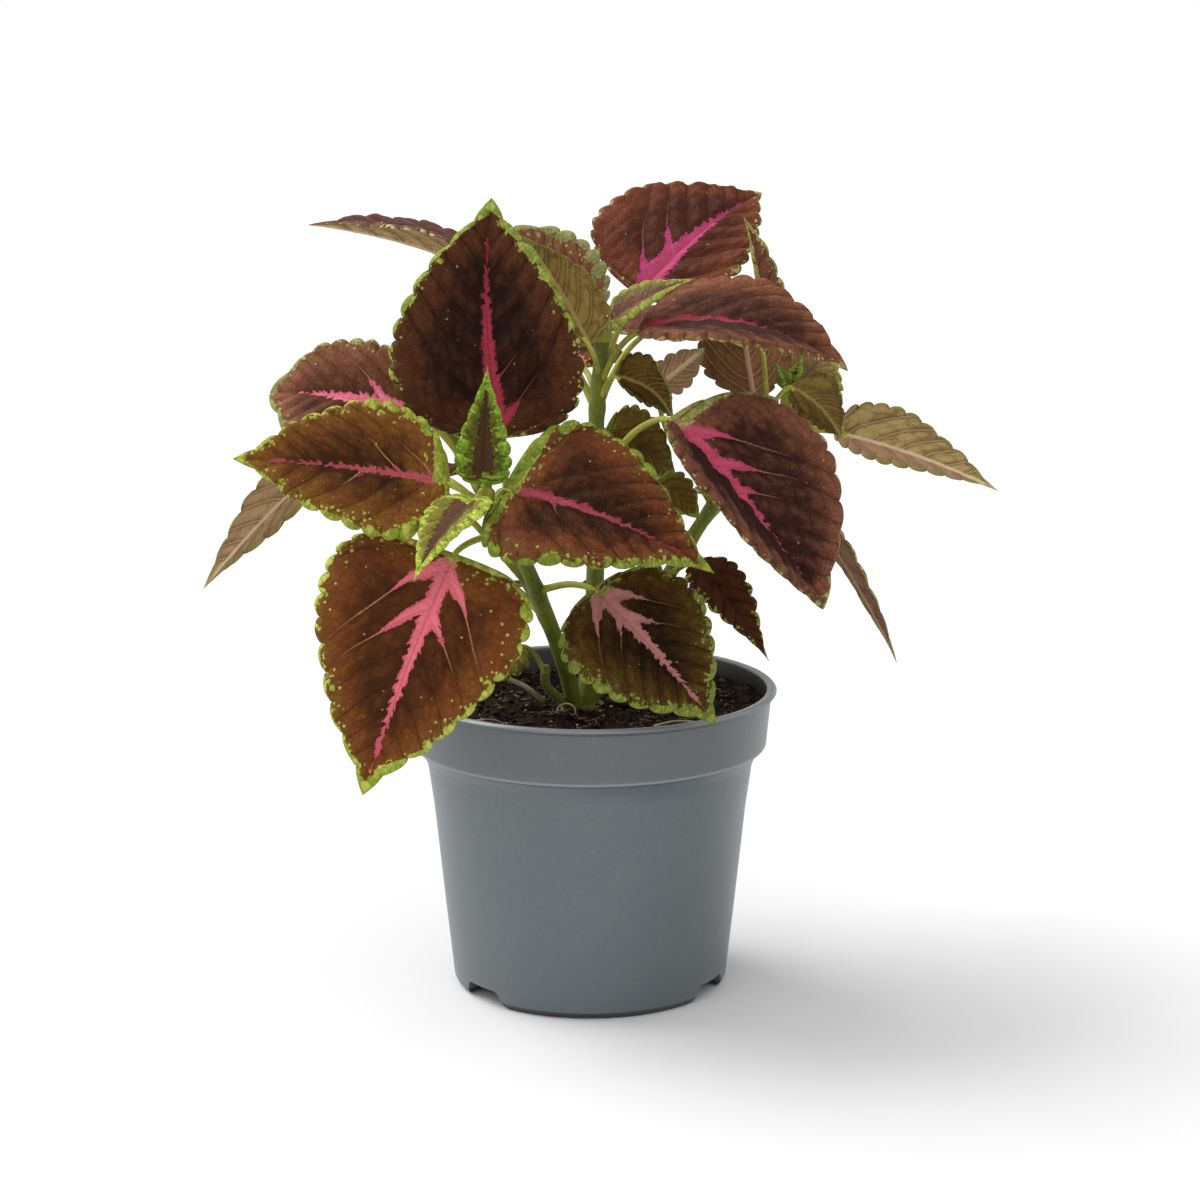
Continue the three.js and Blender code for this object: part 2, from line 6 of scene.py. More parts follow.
import bmesh
import bpy
import numpy as np
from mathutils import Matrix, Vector


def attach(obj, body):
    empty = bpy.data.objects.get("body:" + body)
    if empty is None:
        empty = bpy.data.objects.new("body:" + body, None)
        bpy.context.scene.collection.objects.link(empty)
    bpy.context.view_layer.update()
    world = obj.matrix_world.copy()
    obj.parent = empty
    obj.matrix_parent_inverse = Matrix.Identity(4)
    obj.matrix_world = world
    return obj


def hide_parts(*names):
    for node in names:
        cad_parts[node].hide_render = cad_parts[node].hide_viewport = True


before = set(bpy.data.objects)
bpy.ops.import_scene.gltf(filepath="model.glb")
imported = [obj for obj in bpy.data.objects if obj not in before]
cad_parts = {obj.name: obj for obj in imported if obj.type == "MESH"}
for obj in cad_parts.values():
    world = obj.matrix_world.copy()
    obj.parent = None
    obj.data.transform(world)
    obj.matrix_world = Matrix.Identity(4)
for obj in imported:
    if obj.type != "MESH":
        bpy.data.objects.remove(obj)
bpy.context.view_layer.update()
mm = 0.001
print("frame loaded")


# Shader nodes as expressions


def colour(code):
    parts = [int(code[i:i + 2], 16) / 255 for i in (1, 3, 5)]
    return tuple(p / 12.92 if p <= 0.04045 else ((p + 0.055) / 1.055) ** 2.4 for p in parts) + (1.0,)


class Wire:
    # A socket that carries a value and can stand in a sum.
    def __init__(self, finish, socket):
        self.finish = finish
        self.socket = socket

    def maths(self, operation, first, second):
        return self.finish.add("Math", {"operation": operation}, {0: first, 1: second})

    def __add__(self, other):
        return self.maths("ADD", self, other)

    def __radd__(self, other):
        return self.maths("ADD", other, self)

    def __sub__(self, other):
        return self.maths("SUBTRACT", self, other)

    def __rsub__(self, other):
        return self.maths("SUBTRACT", other, self)

    def __mul__(self, other):
        return self.maths("MULTIPLY", self, other)

    def __rmul__(self, other):
        return self.maths("MULTIPLY", other, self)

    def step(self, low, high):  # 0 at low, 1 at high, soft between
        sockets = {"Value": self, "From Min": low, "From Max": high}
        return self.finish.add("MapRange", {"interpolation_type": "SMOOTHSTEP"}, sockets)


class Finish:
    # One material, built on its Principled shader. A socket takes a wire, a value or a tint's name.
    def __init__(self, name, tints):
        self.tints = tints
        self.material = bpy.data.materials.new(name)
        self.material.use_nodes = True
        self.tree = self.material.node_tree

    def add(self, kind, settings, sockets, output=0):
        node = self.tree.nodes.new("ShaderNode" + kind)
        for name, value in settings.items():
            setattr(node, name, value)
        self.fill(node, sockets)
        return Wire(self, node.outputs[output])

    def fill(self, node, sockets):
        for name, value in sockets.items():
            if isinstance(value, Wire):
                self.tree.links.new(value.socket, node.inputs[name])
            elif isinstance(value, str):
                node.inputs[name].default_value = colour(self.tints[value])
            else:
                node.inputs[name].default_value = value

    def wear(self, sockets):
        self.fill(self.tree.nodes["Principled BSDF"], sockets)
        return self.material

    def place(self):  # in mm
        spot = self.add("TexCoord", {}, {}, "Object")
        return self.add("VectorMath", {"operation": "SCALE"}, {0: spot, "Scale": 1000})

    def fields(self, *names):
        return [self.add("Attribute", {"attribute_name": name}, {}, "Fac") for name in names]

    def noise(self, place, size, detail=2.0):  # size of a blotch in mm
        return self.add("TexNoise", {}, {"Vector": place, "Scale": 1 / size, "Detail": detail})

    def cells(self, place, size, feature="F1", output="Distance"):
        return self.add("TexVoronoi", {"feature": feature}, {"Vector": place, "Scale": 1 / size}, output)

    def lots(self, place, size):  # one draw from 0 to 1 for each cell
        return self.add("SeparateColor", {}, {0: self.cells(place, size, "F1", "Color")})

    def blend(self, factor, first, second):
        return self.add("Mix", {"data_type": "RGBA"}, {0: factor, 6: first, 7: second}, 2)

    def coats(self, ground, *layers):  # layers of a share and a tint, laid on in turn
        for share, tint in layers:
            ground = self.blend(share, ground, tint)
        return ground

    def bump(self, height, strength, depth):  # depth in mm
        return self.add("Bump", {}, {"Height": height, "Strength": strength, "Distance": depth * mm})


# Meshes

leafFields = ("flameDepth", "limeDepth", "ribGap", "pillowShade", "along", "lane", "strip", "pale", "mottle")


def makePiece(name, points, faces, finishes, slots=None, fields=None, smooth=True):
    mesh = bpy.data.meshes.new(name)
    mesh.from_pydata((np.asarray(points) * mm).tolist(), [], faces)
    for finish in finishes:
        mesh.materials.append(finish)
    if slots is not None:
        mesh.polygons.foreach_set("material_index", np.asarray(slots, dtype=np.int32))
    for label, values in (fields or {}).items():
        attribute = mesh.attributes.new(label, "FLOAT", "POINT")
        attribute.data.foreach_set("value", np.asarray(values, dtype=np.float32))
    mesh.polygons.foreach_set("use_smooth", np.full(len(mesh.polygons), smooth))
    mesh.update()
    piece = bpy.data.objects.new(name, mesh)
    bpy.context.scene.collection.objects.link(piece)
    return piece


def settle(piece, slot, *nodes):
    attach(piece, "root")
    if nodes:
        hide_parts(*nodes)


class Heap:
    # Collects the parts of one mesh.
    def __init__(self):
        self.points = []
        self.faces = []
        self.slots = []
        self.fields = {label: [] for label in leafFields}
        self.count = 0

    def put(self, points, faces, slots, fields=None):
        points = np.asarray(points, dtype=float)
        self.points.append(points)
        self.faces += [[corner + self.count for corner in face] for face in faces]
        self.slots += [slots] * len(faces) if isinstance(slots, int) else slots
        for label in leafFields:
            self.fields[label].append((fields or {}).get(label, np.zeros(len(points))))
        self.count += len(points)

    def finish(self, name, finishes):
        fields = {label: np.concatenate(values) for label, values in self.fields.items()}
        return makePiece(name, np.concatenate(self.points), self.faces, finishes, self.slots, fields)


def throughPoints(points, steps):
    # A centripetal curve through the points: places and directions.
    points = [np.asarray(p, dtype=float) for p in points]
    points = [2 * points[0] - points[1]] + points + [2 * points[-1] - points[-2]]
    spans = len(points) - 3

    def placeAt(t):
        i = min(int(t * spans), spans - 1)
        part = t * spans - i
        p0, p1, p2, p3 = points[i:i + 4]
        gaps = [math.sqrt(np.linalg.norm(b - a)) for a, b in ((p0, p1), (p1, p2), (p2, p3))]
        t1 = (p1 - p0) / gaps[0] - (p2 - p0) / (gaps[0] + gaps[1]) + (p2 - p1) / gaps[1]
        t2 = (p2 - p1) / gaps[1] - (p3 - p1) / (gaps[1] + gaps[2]) + (p3 - p2) / gaps[2]
        t1, t2 = t1 * gaps[1], t2 * gaps[1]
        return (p1 + t1 * part + (3 * p2 - 3 * p1 - 2 * t1 - t2) * part ** 2
                + (2 * p1 - 2 * p2 + t1 + t2) * part ** 3)

    places = np.array([placeAt(i / steps) for i in range(steps + 1)])
    return places, np.gradient(places, axis=0)


def tube(places, ways, radii, sides, shape=None):
    # A closed tube. shape(turn, share) scales the radius.
    across = np.array([1.0, 0.0, 0.0])
    points = []
    for i, (place, way) in enumerate(zip(places, ways)):
        way = unit(way)
        across = unit(across - way * across.dot(way))
        other = np.cross(way, across)
        for k in range(sides):
            turn = 2 * math.pi * k / sides
            radius = radii[i] * (shape(turn, i / (len(places) - 1)) if shape else 1)
            points.append(place + radius * (math.cos(turn) * across + math.sin(turn) * other))
    faces = []
    for i in range(len(places) - 1):
        for k in range(sides):
            a, b = i * sides + k, i * sides + (k + 1) % sides
            faces.append([a, b, b + sides, a + sides])
    faces.append(list(range(sides))[::-1])
    faces.append([(len(places) - 1) * sides + k for k in range(sides)])
    return np.array(points), faces


def unit(vector):
    return vector / np.linalg.norm(vector)


# Leaf finishes

tintNames = ("body", "bodyWarm", "shade", "moss", "flame", "flameDeep", "root", "vein",
             "lime", "limePale", "limeDark", "fleck", "under", "underShade", "underVein", "blush")
fawn = "#8d6a4a #6c4a35 #c09a7c #b98a72"  # undersides that several kinds share
bistre = "#7d6140 #5e4530 #b18f70 #b98a72"
leek = "#849a4a #667d37 #a8bb6c #93a058"
leafLooks = {  # tints of each kind of leaf, in the order of tintNames
    "brown": ("#643617 #6d401e #341a0a #664f1d", "#cd6872 #b24c60 #c08c4c #a87650",
        "#80942a #b0b254 #5a6c1f #b59c58", fawn),
    "russet": ("#643b19 #734a1e #301a0a #6f5b1e", "#a65252 #8f3f48 #b07a5c #a47a50",
        "#748524 #a4a648 #53641d #b59c58", fawn),
    "faded": ("#724732 #80533a #4a2a1d #76603a", "#e67c8e #c8607c #c08c70 #a47a60",
        "#787e44 #9c9866 #5f6c30 #b39a6c", fawn),
    "umber": ("#5a2f18 #65381c #251206 #5c4a1c", "#93404a #7c2e3e #b0705a #8a4f42",
        "#627222 #888f3a #475a1b #ab9060", fawn),
    "dark": ("#442514 #4e2b17 #1c0c07 #4e401c", "#90303f #742037 #8a3a34 #6e4632",
        "#6e7e2a #949c48 #48591f #9a854f", bistre),
    "dusty": ("#3e280b #513e12 #180e05 #50491c", "#a8706a #94605c #93824a #6b5236",
        "#5e6c25 #80863e #46561b #8f8648", bistre),
    "burgundy": ("#613322 #6b3b28 #3c1e16 #74552f", "#ae4468 #983462 #b84860 #8a5147",
        "#8c9148 #b0a870 #62622e #a88a62", "#8a6850 #6c4f3e #ab8a70 #b98a72"),
    "maroon": ("#693f2b #7e5036 #321a15 #74572f", "#943a44 #7c2a38 #8c4440 #8a5147",
        "#8a8448 #ab9c68 #625c2e #a88a62", "#785640 #5e4032 #ab8a70 #b98a72"),
    "plum": ("#673f2e #7c4e39 #2b1511 #5a4222", "#b24862 #963656 #a87c50 #96684c",
        "#7a803a #a29a60 #505826 #958052", "#845f3b #64462c #bd987c #a67a60"),
    "green": ("#504f1c #5c6422 #2c280e #8c8634", "#4b3422 #37241a #5e5a28 #7f8a44",
        "#5f7c1e #8aa63c #425f19 #93a044", leek),
    "fresh": ("#6f6a2c #827c36 #4a441f #8c8634", "#5c4230 #4a3226 #5e5a28 #8f9a50",
        "#86982f #b4c052 #62781f #a0ac50", leek),
    "sage": ("#735e38 #7a6c3a #503c2a #7a7438", "#6e4c3e #5e4038 #7c6c48 #8a8450",
        "#74802e #949a46 #606428 #9a9458", "#86784a #665632 #a8986c #93805a"),
    "olive": ("#5c4a1f #6b5c28 #332612 #5f6024", "#8a5a4c #6d4438 #7c7a38 #80603f",
        "#78823a #a09c5c #4f5a24 #8a7a45", "#907941 #5f4a22 #a8905a #8a7044"),
    "tan": ("#5a3c34 #6a4a40 #3a2622 #6a5436", "#a3616a #824656 #8d7440 #8a6a58",
        "#8c9450 #b9b27c #6a6e38 #a08c64", "#b39a62 #735c36 #d6bb98 #bb8f74"),
    "moss": ("#66521e #726224 #3a2c11 #60641f", "#5e4a2a #4a3720 #7c7a38 #7a7440",
        "#6c7830 #8a9048 #46531f #7c7440", "#62491c #3f2c12 #86703e #7d6a38"),
}


def veinFields(finish, pull):
    # What both sides of a blade share: place, rib, vein and grain.
    lane, rib, strip, along = finish.fields("lane", "ribGap", "strip", "along")
    vein = finish.add("Math", {"operation": "PINGPONG"}, {0: lane, 1: 0.5}) * strip
    # grain is a place that follows the veins, so that small marks line up with them
    grain = finish.add("CombineXYZ", {}, {"X": 5 * lane, "Y": pull * rib, "Z": 42 * along})
    return finish.place(), rib, vein, grain


def leafTopFinish(kind, tints):
    finish = Finish("leaf_top_" + kind, tints)
    place, rib, vein, grain = veinFields(finish, 0.45)
    flame, lime, pillowShade, mottle = finish.fields("flameDepth", "limeDepth", "pillowShade", "mottle")
    lane, along, pale = finish.fields("lane", "along", "pale")
    rays = finish.add("CombineXYZ", {}, {"X": 9 * lane, "Y": 0.4 * rib})
    broad, tone, fine = finish.noise(place, 9), finish.noise(grain, 2.4), finish.noise(place, 1.0, 3)
    small, large, ray = finish.lots(grain, 1.3), finish.lots(place, 2.7), finish.lots(rays, 1.0)
    net = finish.cells(grain, 1.3, "DISTANCE_TO_EDGE").step(0.0, 0.2)
    inner = lime.step(-16, -2)  # leaves darken towards the middle
    # crest mixes the leaf's own tone with painted shade: darker in the creases and on a half in shade,
    # lighter and warmer on the swells
    crest = 0.5 * pillowShade + 0.75 * inner + 0.4 * (broad - 0.5) + 0.4 * (tone - 0.5)
    crest = crest + 0.2 * (small - 0.5) - 0.04
    mossy = (mottle + 1.4 * (broad - 0.5) + 0.4 * (small - 0.5)).step(0.0, 0.9)
    # pale flecks, thicker towards the margin
    chosen = finish.lots(place, 2.9).step(0.2, 0.16)
    flecks = (finish.cells(place, 2.9) + 0.5 * (fine - 0.5) + 0.1 * small).step(0.17, 0.09) * chosen
    crowd = (finish.lots(place, 1.5) + 0.42 * mottle + 0.5 * (broad - 0.5)).step(0.93, 1.0)
    crowd = crowd * (finish.cells(place, 1.5) + 0.35 * (fine - 0.5)).step(0.44, 0.26)
    jagged = flame + 1.1 * (ray - 0.45) + 0.5 * (small - 0.5) + 0.8 * (fine - 0.5)
    border = (flame + 1.2 * (broad - 0.5)).step(1.1, -0.1)
    pink = finish.coats(
        "flame",
        (0.1 + 0.85 * border - 0.2 * fine, "flameDeep"),
        (0.8 * (along + 0.06 * small).step(0.11, 0.03), "root"),
        (0.7 * rib.step(0.35, 0.1), "flameDeep"),
        (0.5 * vein.step(0.4, 0.1), "flameDeep"),
    )
    # green margin, with islands of green inside it
    ragged = lime + 4.2 * small * small * large - 0.9 + 1.8 * (broad - 0.5) + 1.3 * (fine - 0.5)
    green = finish.coats(
        "lime",
        ((fine + 0.6 * small).step(0.5, 1.1), "limePale"),
        # painted shade: the green darkens in the creases and along the lines of the fine mosaic
        ((0.7 * large + 0.5 * small + 0.2 * fine - 0.7 * pillowShade).step(0.45, 1.1), "limeDark"),
        (0.35 - 0.35 * net, "limeDark"),
    )
    body = finish.coats(
        "shade",
        (crest.step(0.0, 1.05), "body"),
        ((crest + 0.6 * (fine - 0.5)).step(0.7, 1.4), "bodyWarm"),
        (0.5 * mossy, "moss"),
        # painted shade along the sunken veins and the lines of the fine mosaic, again more faintly in the
        # last layer
        (0.5 * (vein + 0.2 * fine).step(0.55, 0.15), "shade"),
        ((vein + 0.25 * fine).step(0.42, 0.2) * pale, "vein"),
        (0.16 - 0.16 * net, "shade"),
        (0.7 * flecks, "fleck"),
        (jagged.step(-0.1, 0.14), pink),
        (0.8 * crowd, finish.blend(large, "fleck", "limePale")),
        (0.95 * ragged.step(-0.1, 0.16), green),
        (0.08 - 0.08 * net, "shade"),
    )
    return finish.wear({
        "Base Color": body,
        "Roughness": 0.5 + 0.2 * fine,
        "Normal": finish.bump(net + 0.5 * tone + 0.5 * fine, 0.5, 0.25),
        "Specular IOR Level": 0.05,
    })


def leafUnderFinish(kind, tints):
    finish = Finish("leaf_under_" + kind, tints)
    place, rib, vein, grain = veinFields(finish, 0.5)
    lime, pillowShade, pale = finish.fields("limeDepth", "pillowShade", "pale")
    broad, fine = finish.noise(place, 10), finish.noise(place, 1.2, 3)
    net = finish.cells(grain, 1.4, "DISTANCE_TO_EDGE").step(0.12, 0.0)
    ragged = lime + 2 * (broad - 0.5) + 2 * (fine - 0.5)
    body = finish.coats(
        "underShade",
        # painted shade: darker in the creases and in bands beside the raised veins
        ((pillowShade + 1.2 * broad).step(0.7, 1.5), "under"),
        (0.8 * pale, "blush"),
        (0.16 * net, "underVein"),
        (0.55 * (vein + 0.3 * fine).step(1.7, 0.5), "underShade"),
        (0.45 * (vein + 0.3 * fine).step(0.55, 0.3), "underVein"),
        (rib.step(1.0, 0.5), "underVein"),
        (0.6 * ragged.step(0.0, 0.8), "lime"),
    )
    return finish.wear({
        "Base Color": body,
        "Roughness": 0.62 + 0.15 * fine,
        "Normal": finish.bump(net + 0.6 * fine, 0.5, 0.2),
        "Specular IOR Level": 0.05,
    })


def stalkFinish(name, tints):
    finish = Finish(name, tints)
    place = finish.place()
    broad, fine = finish.noise(place, 14), finish.noise(place, 0.9, 3)
    along = finish.fields("along")[0]
    body = finish.coats(
        "deep",
        (broad.step(0.35, 0.7), "base"),
        (0.7 * along.step(0.35, 1), "fresh"),
        (0.5 * fine.step(0.5, 0.75), "pale"),
    )
    return finish.wear({
        "Base Color": body,
        "Roughness": 0.5 + 0.2 * fine,
        "Normal": finish.bump(fine, 0.4, 0.15),
        "Specular IOR Level": 0.3,
        "Sheen Weight": 0.08,
    })


stalkTints = {
    "stalk": {"base": "#a29f33", "deep": "#82831f", "pale": "#bcb85a", "fresh": "#aab23c"},
    "stem": {"base": "#6b7512", "deep": "#4d580a", "pale": "#88902e", "fresh": "#6b7512"},
    "down": {"hair": "#c8d2a4"},
}
leafFinishes = {}
for kind, codes in leafLooks.items():
    tints = dict(zip(tintNames, " ".join(codes).split()))
    leafFinishes[kind] = (leafTopFinish(kind, tints), leafUnderFinish(kind, tints))
stalkGreen = stalkFinish("stalk_green", stalkTints["stalk"])
stemGreen = stalkFinish("stem_green", stalkTints["stem"])
downFinish = Finish("stem_down", stalkTints["down"]).wear({"Base Color": "hair", "Roughness": 0.6})
print("leaf finishes ready")


# Leaves

blade = {
    "thickness": 0.44,
    "toothDepth": 1.9,
    "toothLean": 1.2,
    "teethMore": 1.34,  # finer teeth than the plain solid has
    "toothSteps": [0, 0.03, 0.09, 0.18, 0.3, 0.45, 0.6, 0.75, 0.88, 0.96],
    "smallToothSteps": [0, 0.08, 0.25, 0.5, 0.75, 0.92],
    "smallWidth": 12,  # widest blade with small teeth
    "columns": [0.56, 6, 36],  # rows of points on each half: for each mm of width, fewest and most
    "tipPinch": 0.28,  # how much the blade narrows just before its point
    "droop": 0.16,
    "ripple": 0.014,
    "pillowHeight": 1.0,  # swell between the side veins, at 50 mm wide
    "cellHeight": 0.45,  # swell of the smaller patches on it
    "cellSize": 3.6,
    "veins": 6,
    "fewVeins": 5,
    "slenderWidth": 25,  # widest blade with few veins
    "veinStart": 0.09,  # first side vein and the span of them all, as shares of the length
    "veinSpan": 0.78,
    "veinAngles": [84, 60, 20],  # basal vein, first side vein, and how far the rest close up
    "ribHeight": 0.95,
}
stalk = {"thick": 1.15, "thin": 0.9, "thinWidth": 30, "steps": 26, "sides": 10}  # thin on small blades


def sprig(start, base, tip, face, width, teeth, look, **rest):
    # A leaf's measures: where its stalk starts, its blade, and what sets it apart from the usual.
    # Pairs are left and right of the midrib: fold in degrees, halves and limeSides as shares,
    # dim (painted shade on that half) and blush as strengths. shape is base and point, flame is
    # half width and reach, and lime and mottle are depths of the margin from base to tip. A branch
    # of the flame has its side, vein, length and half width.
    usual = {
        "fold": [8, 8], "halves": [1, 1], "shape": [0.44, 1.0], "arch": 0.06, "curl": 0, "sway": 0,
        "pillows": 0.9, "flame": [1.0, 0.8], "branches": [], "lime": [1.4, 1.2, 1.4, 2.6],
        "limeSides": [1, 1], "mottle": [3, 3], "dim": [0, 0], "blush": [0, 0],
        "toothDepth": blade["toothDepth"],
    }
    return {**usual, "from": start, "base": base, "tip": tip, "face": face,
            "width": width, "teeth": teeth, "look": look, **rest}


